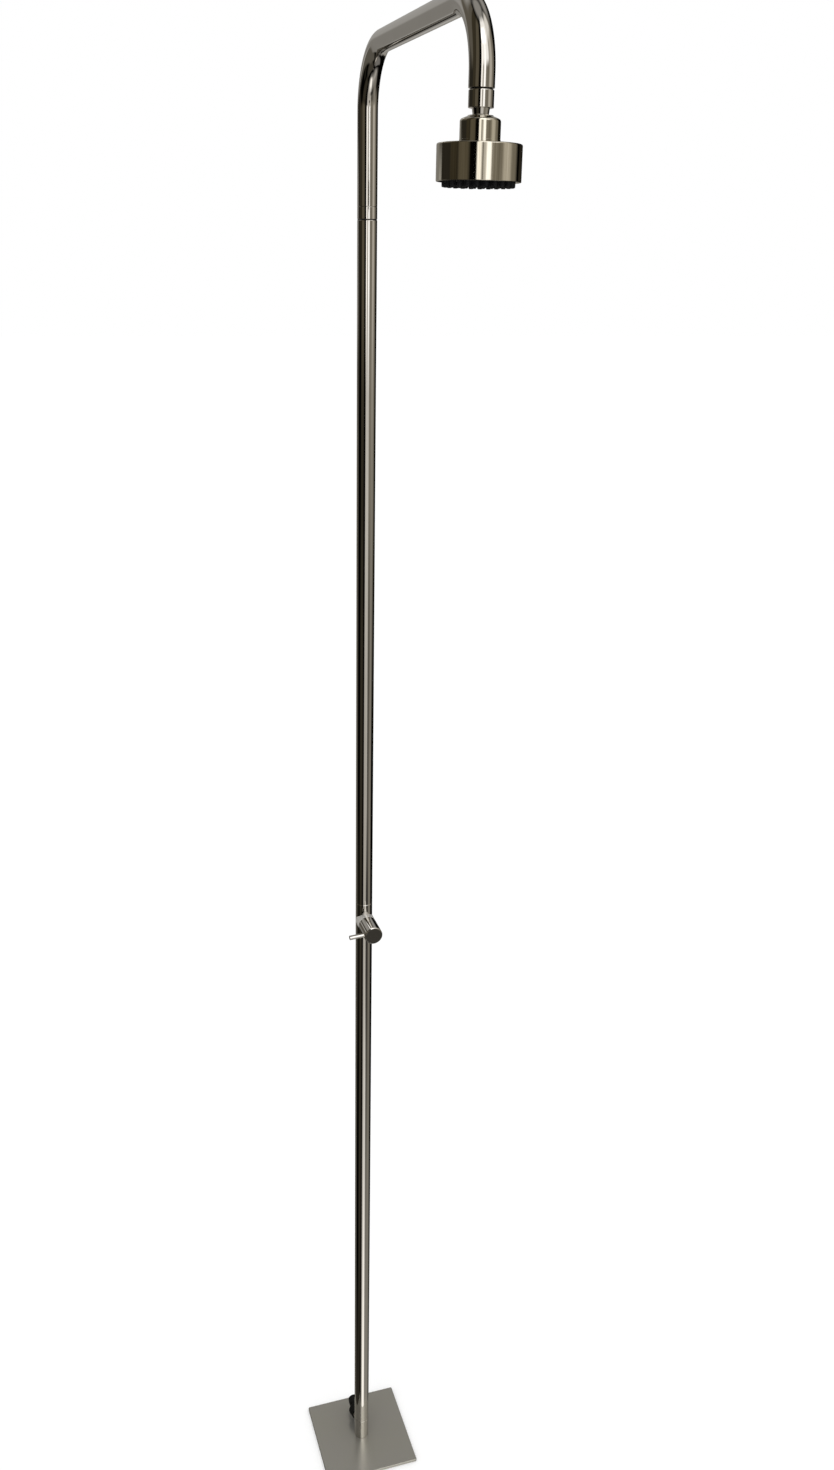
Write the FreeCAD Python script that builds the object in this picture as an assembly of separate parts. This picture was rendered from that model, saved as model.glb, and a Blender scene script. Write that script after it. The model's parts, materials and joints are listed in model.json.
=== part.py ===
import FreeCAD
import Part
import math
import os

# Outdoor shower post: a square steel plate carries a round tube with a turn valve, a gooseneck arm and a
# swivelling drum head. Sizes are in millimetres. The origin is the centre of the plate's underside, +Z is
# up, and the arm and the valve point to -Y.

# --- Tube, post and arm --------------------------------------------------------------------------
tube_diameter = 25.0
post_wall = 2.0
arm_wall = 1.0
overall_height = 2250.0
arm_reach = 400.0
bend_radius = 68.0
arm_post_leg = 106.5
arm_outlet_leg = 13.1
foot_joint_height = 45.0
ferrule_band = 15.0
spigot_length = 18.0
nipple_bend_gap = 2.5
seam_chamfer = 0.3
groove_chamfer = 1.0
cut_margin = 1.0

# --- Base plate and foot -------------------------------------------------------------------------
plate_side = 160.0
plate_thickness = 5.0
plate_corner_radius = 2.0
plate_edge_chamfer = 0.5
foot_edge_chamfer = 0.6
foot_screw_diameter = 4.0
foot_screw_head_diameter = 7.6
foot_screw_length = 12.0
foot_screw_recess = 0.3
foot_screw_key = 2.5
foot_screw_socket_depth = 1.5
foot_screw_count = 3
foot_screw_circle = 15.0
foot_screw_turn = 30.0
foot_web = 2.5
insert_wall = 2.6

# --- Inlet ---------------------------------------------------------------------------------------
inlet_height = 24.0
inlet_stub_diameter = 16.6
inlet_stub_bore = 9.0
inlet_stub_seat = 3.0
inlet_stub_end = 36.5
connector_start = 25.0
connector_collar_length = 13.5
connector_collar_near_diameter = 22.4
connector_collar_far_diameter = 27.2
connector_flutes = 16
connector_flute_diameter = 2.4
connector_shoulder_length = 3.2
connector_neck_diameter = 16.0
connector_neck_length = 3.0
connector_bulb_diameter = 18.6
connector_bulb_rise = 2.4
connector_bulb_length = 7.4
connector_tip_diameter = 17.0
connector_tip_length = 7.5
connector_bore = 8.0
connector_edge = 1.2
connector_tip_edge = 2.0

# --- Seals and fits ------------------------------------------------------------------------------
o_ring_section = 1.8
small_o_ring_section = 1.2
groove_side_room = 0.5
washer_thickness = 2.0
spigot_clearance = 0.05
thread_clearance = 0.05
running_clearance = 0.05
seal_clearance = 0.02

# --- Valve: distances are measured from the post's axis along the valve's own axis ---------------
valve_height = 1063.5
valve_joint_rise = 28.5
valve_body_drop = 30.0
valve_seal_offset = 18.5
duct_diameter = 8.0
duct_offset = 3.5
duct_web = 2.0
pocket_floor = 4.5
boss_diameter = 27.0
boss_back = 3.0
boss_face = 20.5
boss_edge_chamfer = 0.4
port_bore_diameter = 18.4
thread_start = 15.5
cartridge_thread_diameter = 16.0
cartridge_seal_thickness = 1.5
skirt_diameter = 15.2
skirt_wall = 1.2
disc_thickness = 3.0
disc_gap = 0.03
port_inner_radius = 1.5
port_outer_radius = 5.2
port_angle = 78.0
window_width = 7.0
drive_tang = 2.6
drive_depth = 1.0
drive_plate = 1.6
cartridge_hexagon = 17.0
hexagon_thickness = 5.0
cartridge_neck_diameter = 12.0
cartridge_neck_length = 5.5
spindle_diameter = 8.0
spindle_flat = 0.8
spindle_reach = 12.5
clip_thickness = 0.8
clip_width = 1.6
boss_screw_diameter = 4.0
boss_screw_key = 2.0
boss_screw_turn = 17.0

# --- Knob and lever ------------------------------------------------------------------------------
knob_diameter = 27.0
knob_gap = 0.5
knob_length = 35.0
knob_face_chamfer = 1.1
knob_back_chamfer = 0.4
knob_hollow_diameter = 21.6
lever_diameter = 6.6
lever_reach = 35.0
lever_depth = 8.0
lever_face_distance = 8.5
lever_chamfer = 0.7
lever_dip = 4.0
knob_screw_diameter = 4.0
knob_screw_key = 2.0
knob_screw_recess = 0.8
knob_screw_face_distance = 17.5
screw_socket_depth = 1.8

# --- Outlet, ball joint and hub ------------------------------------------------------------------
ball_drop = 31.9
ball_diameter = 23.0
nut_inset = 0.35
nut_gap = 1.0
nut_length = 15.7
nut_top_chamfer = 1.6
nut_bottom_chamfer = 0.6
outlet_thread_diameter = 19.0
outlet_thread_length = 9.5
nipple_bore = 13.0
neck_top_diameter = 17.2
neck_foot_diameter = 15.2
ball_bore = 5.6
ball_mouth_width = 2.0
restrictor_diameter = 10.0
restrictor_length = 4.0
restrictor_bore = 3.4
filter_thickness = 0.6
filter_hole_diameter = 2.4
filter_hole_circle = 7.0
filter_holes = 6
seat_thickness = 1.8
seat_gap = 0.2
upper_seat_angles = (57.0, 78.0)
lower_seat_angles = (102.0, 132.0)
ball_seal_angle = 116.0
mouth_angle = 53.6
hub_diameter = 39.0
hub_dome_radius = 15.0
hub_dome_angle = 56.6
hub_shoulder_height = 5.5
hub_shoulder_radius = 3.0
hub_foot_diameter = 39.4
hub_foot_height = 3.4
hub_foot_chamfer = 0.2
hub_thread_diameter = 31.0
hub_thread_depth = 3.2

# --- Drum head -----------------------------------------------------------------------------------
drum_diameter = 82.0
drum_height = 33.4
drum_drop = 15.4
drum_wall = 1.2
drum_top = 1.5
drum_edge_radius = 1.5
drum_rim_chamfer = 0.6
drum_inlet_diameter = 16.0
face_recess = 0.8
face_thickness = 1.0
face_gap = 0.15
mat_thickness = 2.0
back_plate_thickness = 3.6
nozzle_root_diameter = 5.5
nozzle_tip_diameter = 4.4
nozzle_proud = 4.8
nozzle_bore = 1.2
nozzle_hole_gap = 0.15
feed_hole_diameter = 2.6
nozzle_edge_margin = 8.0
nozzle_ring_pitch = 8.25
nozzle_ring_counts = (24, 18, 12, 6, 1)
nozzle_ring_turns = (7.5, 0.0, 0.0, 0.0, 0.0)
face_screw_diameter = 3.0
face_screw_head_diameter = 5.2
face_screw_head_height = 1.6
face_screw_bite = 6.0
face_screw_count = 3
face_screw_turn = 90.0
face_post_diameter = 7.0

# --- Sizes worked out from the ones above --------------------------------------------------------
UP = FreeCAD.Vector(0, 0, 1)
DOWN = FreeCAD.Vector(0, 0, -1)
FRONT = FreeCAD.Vector(0, -1, 0)
BACK = FreeCAD.Vector(0, 1, 0)

tube_radius = tube_diameter / 2
post_bore_radius = tube_radius - post_wall
arm_bore_radius = tube_radius - arm_wall
post_spigot_radius = post_bore_radius - spigot_clearance
arm_spigot_radius = arm_bore_radius - spigot_clearance
insert_bore_radius = post_spigot_radius - insert_wall
valve_joint_height = valve_height + valve_joint_rise
bend_height = overall_height - tube_radius - bend_radius
arm_start_height = bend_height - arm_post_leg
top_joint_height = arm_start_height - ferrule_band
outlet_height = bend_height - arm_outlet_leg
nipple_spigot_length = arm_outlet_leg - nipple_bend_gap
ball_height = outlet_height - ball_drop
ball_radius = ball_diameter / 2
seat_inner_radius = ball_radius + seat_gap
seat_outer_radius = seat_inner_radius + seat_thickness
pocket_radius = seat_outer_radius + seat_gap
drum_top_height = ball_height - drum_drop
drum_bottom_height = drum_top_height - drum_height
drum_bore_radius = drum_diameter / 2 - drum_wall
face_height = drum_bottom_height + face_recess
mat_height = face_height + face_thickness
back_plate_height = mat_height + mat_thickness
chamber_floor_height = back_plate_height + back_plate_thickness
back_plate_seal_height = back_plate_height + back_plate_thickness / 2
face_screw_end = chamber_floor_height + face_screw_bite
nozzle_length = face_thickness + face_recess + nozzle_proud
skirt_start = pocket_floor + cartridge_seal_thickness
fixed_disc_end = skirt_start + disc_thickness
turning_disc_start = fixed_disc_end + disc_gap
turning_disc_end = turning_disc_start + disc_thickness
drive_end = turning_disc_end + drive_plate
disc_radius = skirt_diameter / 2 - skirt_wall - running_clearance
hexagon_end = boss_face + hexagon_thickness
cartridge_end = hexagon_end + cartridge_neck_length
spindle_end = cartridge_end + spindle_reach
knob_start = boss_face + knob_gap
knob_face = knob_start + knob_length
lever_distance = knob_face - lever_face_distance
knob_screw_distance = knob_face - knob_screw_face_distance
post_foot = FreeCAD.Vector(0, 0, 0)
head_foot = FreeCAD.Vector(0, -arm_reach, 0)
valve_centre = FreeCAD.Vector(0, 0, valve_height)
inlet_centre = FreeCAD.Vector(0, 0, inlet_height)
outlet_centre = FreeCAD.Vector(0, -arm_reach, outlet_height)
ball_centre = FreeCAD.Vector(0, -arm_reach, ball_height)
washer_top_drop = outlet_thread_length
washer_seat_drop = outlet_thread_length + washer_thickness


# --- Ways of making a solid ----------------------------------------------------------------------
def turned(outline, centre, axis):
    """Turn a closed outline about an axis. Its corners are (radius, distance along the axis), and an entry
    that holds two corners is an arc: the point it passes through, then its end. A last arc may close it."""
    edges = []
    here = FreeCAD.Vector(outline[0][0], 0, outline[0][1])
    for entry in outline[1:] + outline[:1]:
        is_arc = isinstance(entry[0], tuple)
        corner = entry[1] if is_arc else entry
        end = FreeCAD.Vector(corner[0], 0, corner[1])
        if is_arc:
            middle = FreeCAD.Vector(entry[0][0], 0, entry[0][1])
            edges.append(Part.Arc(here, middle, end).toShape())
        elif not end.isEqual(here, 1e-6):
            edges.append(Part.makeLine(here, end))
        here = end
    solid = Part.Face(Part.Wire(edges)).revolve(FreeCAD.Vector(0, 0, 0), UP, 360)
    solid.Placement = FreeCAD.Placement(centre, FreeCAD.Rotation(UP, axis))
    return solid


def ring(inner, outer, start, end, centre, axis):
    """A plain round ring, or a disc where inner is 0, between two distances along an axis."""
    return turned([(inner, start), (outer, start), (outer, end), (inner, end)], centre, axis)


def rod(radius, start, end):
    """A round bar from one point to another."""
    along = end - start
    return Part.makeCylinder(radius, along.Length, start, along)


def hexagon(across_flats, start, end):
    """A six-sided bar from one point to another."""
    along = end - start
    corner_radius = across_flats / math.sqrt(3)
    turns = [math.radians(60 * step) for step in range(7)]
    corners = [FreeCAD.Vector(corner_radius * math.cos(a), corner_radius * math.sin(a), 0) for a in turns]
    bar = Part.Face(Part.makePolygon(corners)).extrude(FreeCAD.Vector(0, 0, along.Length))
    bar.Placement = FreeCAD.Placement(start, FreeCAD.Rotation(UP, along))
    return bar


def polar(radius, degrees):
    """The (radius, height) corner on a ball's outline at an angle from the ball's top."""
    return (radius * math.sin(math.radians(degrees)), radius * math.cos(math.radians(degrees)))


def ball_zone(inner_radius, outer_radius, angles):
    """A ring of a ball's shell between two angles from the ball's top, round the swivel's centre."""
    top, bottom = angles
    middle = (top + bottom) / 2
    outline = [
        polar(inner_radius, top),
        polar(outer_radius, top),
        (polar(outer_radius, middle), polar(outer_radius, bottom)),
        polar(inner_radius, bottom),
        (polar(inner_radius, middle), polar(inner_radius, top)),
    ]
    return turned(outline, ball_centre, UP)


def seal_groove(bore_radius, distance, section, centre, axis):
    """What is cut from a spigot for an o-ring that seals it in a bore."""
    half_width = section / 2 + groove_side_room / 2
    return ring(bore_radius - section, bore_radius + section, distance - half_width, distance + half_width,
                centre, axis)


def o_ring(bore_radius, distance, section, centre, axis):
    """An o-ring lying in its groove, against the bore."""
    place = centre + axis * distance
    return Part.makeTorus(bore_radius - section / 2, section / 2 - seal_clearance, place, axis)


def socket_screw(diameter, key, start, end):
    """A headless screw with a hexagon socket in its far end."""
    along = (end - start).normalize()
    screw = rod(diameter / 2, start, end)
    return screw.cut(hexagon(key, end - along * screw_socket_depth, end + along))


def rounded(before, corner, after, radius):
    """The two entries of an outline that round a corner: where the arc starts, then its middle and end."""
    turn_point = FreeCAD.Vector(corner[0], corner[1], 0)
    back = (FreeCAD.Vector(before[0], before[1], 0) - turn_point).normalize()
    on = (FreeCAD.Vector(after[0], after[1], 0) - turn_point).normalize()
    half = back.getAngle(on) / 2
    inward = (back + on).normalize()
    start = turn_point + back * (radius / math.tan(half))
    end = turn_point + on * (radius / math.tan(half))
    middle = turn_point + inward * (radius / math.sin(half) - radius)
    return [(start.x, start.y), ((middle.x, middle.y), (end.x, end.y))]


def around(count, radius, first_degrees=0.0):
    """Evenly spaced (x, y) places on a circle."""
    places = []
    for step in range(count):
        angle = math.radians(first_degrees + 360.0 * step / count)
        places.append((radius * math.cos(angle), radius * math.sin(angle)))
    return places


# --- Base plate and foot -------------------------------------------------------------------------
def foot_screw_places():
    """The foot's screws, evenly spaced on a circle round the plate's centre."""
    places = around(foot_screw_count, foot_screw_circle / 2, foot_screw_turn)
    return [FreeCAD.Vector(x, y, 0) for x, y in places]


def foot_screw_outline(room):
    """A countersunk screw's outline, or with some room round it its hole's."""
    shank = foot_screw_diameter / 2 + room
    head = foot_screw_head_diameter / 2 + room
    cone_top = foot_screw_recess + head - shank
    return [(0, foot_screw_recess), (head, foot_screw_recess), (shank, cone_top),
            (shank, foot_screw_recess + foot_screw_length), (0, foot_screw_recess + foot_screw_length)]


def base_plate():
    half = plate_side / 2
    plate = Part.makeBox(plate_side, plate_side, plate_thickness, FreeCAD.Vector(-half, -half, 0))
    upright = [edge for edge in plate.Edges if edge.BoundBox.ZLength > plate_thickness / 2]
    plate = plate.makeFillet(plate_corner_radius, upright)
    upper = [edge for edge in plate.Edges if edge.BoundBox.ZMin > plate_thickness / 2]
    plate = plate.makeChamfer(plate_edge_chamfer, upper)
    for place in foot_screw_places():
        hole = turned(foot_screw_outline(thread_clearance), place, UP)
        mouth = ring(0, foot_screw_head_diameter / 2 + thread_clearance, -cut_margin, foot_screw_recess,
                     place, UP)
        plate = plate.cut([hole, mouth])
    return plate


def foot_screws():
    screws = []
    for place in foot_screw_places():
        socket_top = place + UP * (foot_screw_recess + foot_screw_socket_depth)
        socket = hexagon(foot_screw_key, place + DOWN, socket_top)
        screws.append(turned(foot_screw_outline(0), place, UP).cut(socket))
    return screws


def foot_block():
    """A turned foot with the inlet drilled into its side and a spigot that enters the tube."""
    screw_end = foot_screw_recess + foot_screw_length
    floor = screw_end + foot_web
    top = foot_joint_height + spigot_length
    outline = [
        (0, plate_thickness),
        (tube_radius - foot_edge_chamfer, plate_thickness),
        (tube_radius, plate_thickness + foot_edge_chamfer),
        (tube_radius, foot_joint_height - seam_chamfer),
        (tube_radius - seam_chamfer, foot_joint_height),
        (post_spigot_radius, foot_joint_height),
        (post_spigot_radius, top - groove_chamfer),
        (post_spigot_radius - groove_chamfer, top),
        (insert_bore_radius, top),
        (insert_bore_radius, floor),
        (0, floor),
    ]
    block = turned(outline, post_foot, UP)
    for place in foot_screw_places():
        block = block.cut(ring(0, foot_screw_diameter / 2 + thread_clearance, 0,
                               screw_end + thread_clearance, place, UP))
    seat = ring(0, inlet_stub_diameter / 2 + thread_clearance, tube_radius - inlet_stub_seat, tube_diameter,
                inlet_centre, BACK)
    passage = ring(0, inlet_stub_bore / 2, 0, tube_radius, inlet_centre, BACK)
    groove = seal_groove(post_bore_radius, foot_joint_height + spigot_length / 2, o_ring_section,
                         post_foot, UP)
    return block.cut([seat, passage]).cut(groove)


def foot_o_ring():
    return o_ring(post_bore_radius, foot_joint_height + spigot_length / 2, o_ring_section, post_foot, UP)


# --- Inlet ---------------------------------------------------------------------------------------
def inlet_stub():
    return ring(inlet_stub_bore / 2, inlet_stub_diameter / 2, tube_radius - inlet_stub_seat, inlet_stub_end,
                inlet_centre, BACK)


def inlet_washer():
    return ring(inlet_stub_bore / 2, inlet_stub_diameter / 2, inlet_stub_end,
                inlet_stub_end + washer_thickness, inlet_centre, BACK)


def connector_stations():
    """Distances from the post's axis to the ends of the collar, neck, bulb and tip."""
    collar_end = connector_start + connector_collar_length
    neck_end = collar_end + connector_shoulder_length + connector_neck_length
    bulb_end = neck_end + connector_bulb_rise + connector_bulb_length
    return collar_end, neck_end, bulb_end, bulb_end + connector_tip_length


def hose_connector():
    """A moulded hose connector: a fluted collar screwed on the stub, a neck, a bulb and a sealed tip."""
    collar_end, neck_end, bulb_end, tip_end = connector_stations()
    near = connector_collar_near_diameter / 2
    far = connector_collar_far_diameter / 2
    neck = connector_neck_diameter / 2
    bulb = connector_bulb_diameter / 2
    tip = connector_tip_diameter / 2
    thread = inlet_stub_diameter / 2 + thread_clearance
    washer_end = inlet_stub_end + washer_thickness
    outline = [
        (thread, connector_start),
        (near, connector_start),
        (far, collar_end - connector_edge),
        (far - connector_edge, collar_end),
        (neck, collar_end + connector_shoulder_length),
        (neck, neck_end),
        (bulb, neck_end + connector_bulb_rise),
        (bulb, bulb_end),
        (tip, bulb_end + bulb - tip),
        (tip, tip_end - connector_tip_edge),
        (tip - connector_tip_edge, tip_end),
        (connector_bore / 2, tip_end),
        (connector_bore / 2, washer_end),
        (thread, washer_end),
    ]
    body = turned(outline, inlet_centre, BACK)
    flutes = []
    for x, z in around(connector_flutes, far + connector_flute_diameter / 4):
        start = inlet_centre + FreeCAD.Vector(x, connector_start - cut_margin, z)
        end = inlet_centre + FreeCAD.Vector(x, collar_end - connector_edge, z)
        flutes.append(rod(connector_flute_diameter / 2, start, end))
    groove = seal_groove(tip + small_o_ring_section / 4, (bulb_end + tip_end) / 2, small_o_ring_section,
                         inlet_centre, BACK)
    return body.cut(flutes).cut(groove)


def connector_o_ring():
    bulb_end, tip_end = connector_stations()[2:]
    return o_ring(connector_tip_diameter / 2 + small_o_ring_section / 4, (bulb_end + tip_end) / 2,
                  small_o_ring_section, inlet_centre, BACK)


# --- Post tubes ----------------------------------------------------------------------------------
def straight_tube(bottom, top, top_chamfer):
    """A length of the post's tube, with a fine chamfer at its foot and its own one at its top."""
    outline = [
        (post_bore_radius, bottom),
        (tube_radius - seam_chamfer, bottom),
        (tube_radius, bottom + seam_chamfer),
        (tube_radius, top - top_chamfer),
        (tube_radius - top_chamfer, top),
        (post_bore_radius, top),
    ]
    return turned(outline, post_foot, UP)


def lower_tube():
    tube = straight_tube(foot_joint_height, valve_joint_height, seam_chamfer)
    return tube.cut(ring(0, port_bore_diameter / 2, 0, tube_diameter, valve_centre, FRONT))


def mid_tube():
    return straight_tube(valve_joint_height, top_joint_height, groove_chamfer)


def joint_ferrule():
    """The turned piece between post and arm: a visible band with a spigot into the tube on each side."""
    bottom = top_joint_height - spigot_length
    top = arm_start_height + spigot_length
    outline = [
        (insert_bore_radius, bottom),
        (post_spigot_radius - groove_chamfer, bottom),
        (post_spigot_radius, bottom + groove_chamfer),
        (post_spigot_radius, top_joint_height),
        (tube_radius - groove_chamfer, top_joint_height),
        (tube_radius, top_joint_height + groove_chamfer),
        (tube_radius, arm_start_height - seam_chamfer),
        (tube_radius - seam_chamfer, arm_start_height),
        (arm_spigot_radius, arm_start_height),
        (arm_spigot_radius, top - groove_chamfer),
        (arm_spigot_radius - groove_chamfer, top),
        (insert_bore_radius, top),
    ]
    ferrule = turned(outline, post_foot, UP)
    for bore_radius, height in ferrule_seals():
        ferrule = ferrule.cut(seal_groove(bore_radius, height, o_ring_section, post_foot, UP))
    return ferrule


def ferrule_seals():
    """Bore radius and height of the ferrule's two o-rings."""
    return ((post_bore_radius, top_joint_height - spigot_length / 2),
            (arm_bore_radius, arm_start_height + spigot_length / 2))


def ferrule_o_rings():
    return [o_ring(bore, height, o_ring_section, post_foot, UP) for bore, height in ferrule_seals()]


# --- Gooseneck arm -------------------------------------------------------------------------------
def arm_start():
    return post_foot + UP * arm_start_height


def bend_point(centre_y, degrees):
    """A point on a bend's centre line, at an angle from the bend's back."""
    angle = math.radians(degrees)
    along = bend_radius * math.cos(angle)
    rise = bend_radius * math.sin(angle)
    return FreeCAD.Vector(0, centre_y + along, bend_height + rise)


def arm_path():
    """The arm's centre line: up from the ferrule, over, along and down to the outlet."""
    near = -bend_radius
    far = bend_radius - arm_reach
    edges = [
        Part.makeLine(arm_start(), bend_point(near, 0)),
        Part.Arc(bend_point(near, 0), bend_point(near, 45), bend_point(near, 90)).toShape(),
        Part.makeLine(bend_point(near, 90), bend_point(far, 90)),
        Part.Arc(bend_point(far, 90), bend_point(far, 135), bend_point(far, 180)).toShape(),
        Part.makeLine(bend_point(far, 180), outlet_centre),
    ]
    return Part.Wire(edges)


def arm_tube():
    """The gooseneck: the tube's section swept along the centre line, less the bore's."""
    sweeps = []
    for radius in (tube_radius, arm_bore_radius):
        section = Part.Wire(Part.makeCircle(radius, arm_start(), UP))
        sweeps.append(arm_path().makePipeShell([section], True, False))
    return sweeps[0].cut(sweeps[1])


# --- Valve ---------------------------------------------------------------------------------------
def valve_seal_heights():
    """Heights of the valve body's three o-rings: below and above the valve, and above the joint."""
    return (valve_height - valve_seal_offset, valve_height + valve_seal_offset,
            valve_joint_height + spigot_length / 2)


def valve_body():
    """The insert that blocks the tube at the valve: water rises in one duct, is let through the discs into
    the pocket round the cartridge, and leaves by the other duct."""
    bottom = valve_height - valve_body_drop
    top = valve_joint_height + spigot_length
    outline = [
        (0, bottom),
        (post_spigot_radius - groove_chamfer, bottom),
        (post_spigot_radius, bottom + groove_chamfer),
        (post_spigot_radius, top - groove_chamfer),
        (post_spigot_radius - groove_chamfer, top),
        (0, top),
    ]
    body = turned(outline, post_foot, UP)
    duct = duct_diameter / 2
    inlet_duct = ring(0, duct, bottom - cut_margin, valve_height + duct, BACK * duct_offset, UP)
    outlet_duct = ring(0, duct, valve_height + duct + duct_web, top + cut_margin, FRONT * duct_offset, UP)
    seat_hole = ring(0, duct, -duct_offset, pocket_floor + cut_margin, valve_centre, FRONT)
    pocket = ring(0, port_bore_diameter / 2, pocket_floor, tube_radius, valve_centre, FRONT)
    body = body.cut([inlet_duct, outlet_duct, seat_hole, pocket])
    for height in valve_seal_heights():
        body = body.cut(seal_groove(post_bore_radius, height, o_ring_section, post_foot, UP))
    return body


def valve_body_o_rings():
    heights = valve_seal_heights()
    return [o_ring(post_bore_radius, height, o_ring_section, post_foot, UP) for height in heights]


def boss_screw_ends():
    """The locking screw's two ends, set across the boss's thread, and its direction."""
    turn = math.radians(boss_screw_turn)
    outward = FreeCAD.Vector(-math.sin(turn), 0, math.cos(turn))
    place = valve_centre + FRONT * ((thread_start + boss_face) / 2)
    inner = cartridge_thread_diameter / 2 + thread_clearance
    return place + outward * inner, place + outward * (boss_diameter / 2 - screw_socket_depth / 4), outward


def valve_boss():
    """The round boss welded to the tube, coped to fit it, with the cartridge's thread in its mouth."""
    radius = boss_diameter / 2
    thread = cartridge_thread_diameter / 2 + thread_clearance
    outline = [
        (port_bore_diameter / 2, boss_back),
        (radius, boss_back),
        (radius, boss_face - boss_edge_chamfer),
        (radius - boss_edge_chamfer, boss_face),
        (thread, boss_face),
        (thread, thread_start),
        (port_bore_diameter / 2, thread_start),
    ]
    boss = turned(outline, valve_centre, FRONT)
    post = rod(tube_radius, valve_centre - UP * tube_diameter, valve_centre + UP * tube_diameter)
    start, end, outward = boss_screw_ends()
    hole_radius = boss_screw_diameter / 2 + thread_clearance
    screw_hole = rod(hole_radius, start - outward * cut_margin, end + outward * tube_diameter)
    coped = boss.cut(post).cut(screw_hole)
    return max(coped.Solids, key=lambda solid: solid.CenterOfMass.dot(FRONT))


def boss_screw():
    start, end, outward = boss_screw_ends()
    return socket_screw(boss_screw_diameter, boss_screw_key, start, end)


def cartridge_seal():
    return ring(duct_diameter / 2, skirt_diameter / 2, pocket_floor, skirt_start, valve_centre, FRONT)


def cartridge_body():
    """The headwork's brass body: a skirt round the discs with two side windows, a thread, a hexagon that
    tightens on the boss, and a neck that carries the spindle."""
    skirt = skirt_diameter / 2
    thread = cartridge_thread_diameter / 2
    hole = spindle_diameter / 2 + running_clearance
    drive_room = drive_end + running_clearance
    outline = [
        (skirt - skirt_wall, skirt_start),
        (skirt, skirt_start),
        (skirt, thread_start),
        (thread, thread_start),
        (thread, boss_face),
        (cartridge_hexagon / 2, boss_face),
        (cartridge_hexagon / 2, hexagon_end),
        (cartridge_neck_diameter / 2, hexagon_end),
        (cartridge_neck_diameter / 2, cartridge_end),
        (hole, cartridge_end),
        (hole, drive_room),
        (skirt - skirt_wall, drive_room),
    ]
    body = turned(outline, valve_centre, FRONT)
    hexagon_start = valve_centre + FRONT * boss_face
    hexagon_bar = hexagon(cartridge_hexagon, hexagon_start, valve_centre + FRONT * hexagon_end)
    bar_hole = ring(0, cartridge_neck_diameter / 2, 0, spindle_end, valve_centre, FRONT)
    body = body.fuse(hexagon_bar.cut(bar_hole)).removeSplitter()
    window_height = cartridge_thread_diameter * 2
    window = Part.makeBox(window_width, drive_end - turning_disc_end, window_height,
                          valve_centre + FreeCAD.Vector(-window_width / 2, -drive_end, -window_height / 2))
    return body.cut(window)


def port(start, end, turn):
    """Two facing sector-shaped ports between two distances along the valve's axis."""
    def corner(radius, degrees):
        angle = math.radians(degrees)
        spoke = FreeCAD.Vector(radius * math.cos(angle), 0, radius * math.sin(angle))
        return valve_centre + FRONT * start + spoke

    sectors = []
    for middle in (turn, turn + 180):
        first = middle - port_angle / 2
        last = middle + port_angle / 2
        inner = [corner(port_inner_radius, degrees) for degrees in (first, middle, last)]
        outer = [corner(port_outer_radius, degrees) for degrees in (first, middle, last)]
        edges = [
            Part.makeLine(inner[0], outer[0]),
            Part.Arc(outer[0], outer[1], outer[2]).toShape(),
            Part.makeLine(outer[2], inner[2]),
            Part.Arc(inner[2], inner[1], inner[0]).toShape(),
        ]
        sectors.append(Part.Face(Part.Wire(edges)).extrude(FRONT * (end - start)))
    return sectors


def fixed_disc():
    """The ceramic disc that stays still: its ports stand above and below the axis."""
    disc = ring(0, disc_radius, skirt_start, fixed_disc_end, valve_centre, FRONT)
    return disc.cut(port(skirt_start, fixed_disc_end, 90))


def turning_disc():
    """The ceramic disc that turns: at rest its ports lie across the fixed disc's, which shuts the valve."""
    radius = disc_radius - running_clearance
    disc = ring(0, radius, turning_disc_start, turning_disc_end, valve_centre, FRONT)
    slot = Part.makeBox(drive_tang + 2 * running_clearance, drive_depth + running_clearance, 4 * disc_radius,
                        valve_centre + FreeCAD.Vector(-drive_tang / 2 - running_clearance, -turning_disc_end,
                                                      -2 * disc_radius))
    return disc.cut(port(turning_disc_start, turning_disc_end, 0)).cut(slot)


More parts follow.
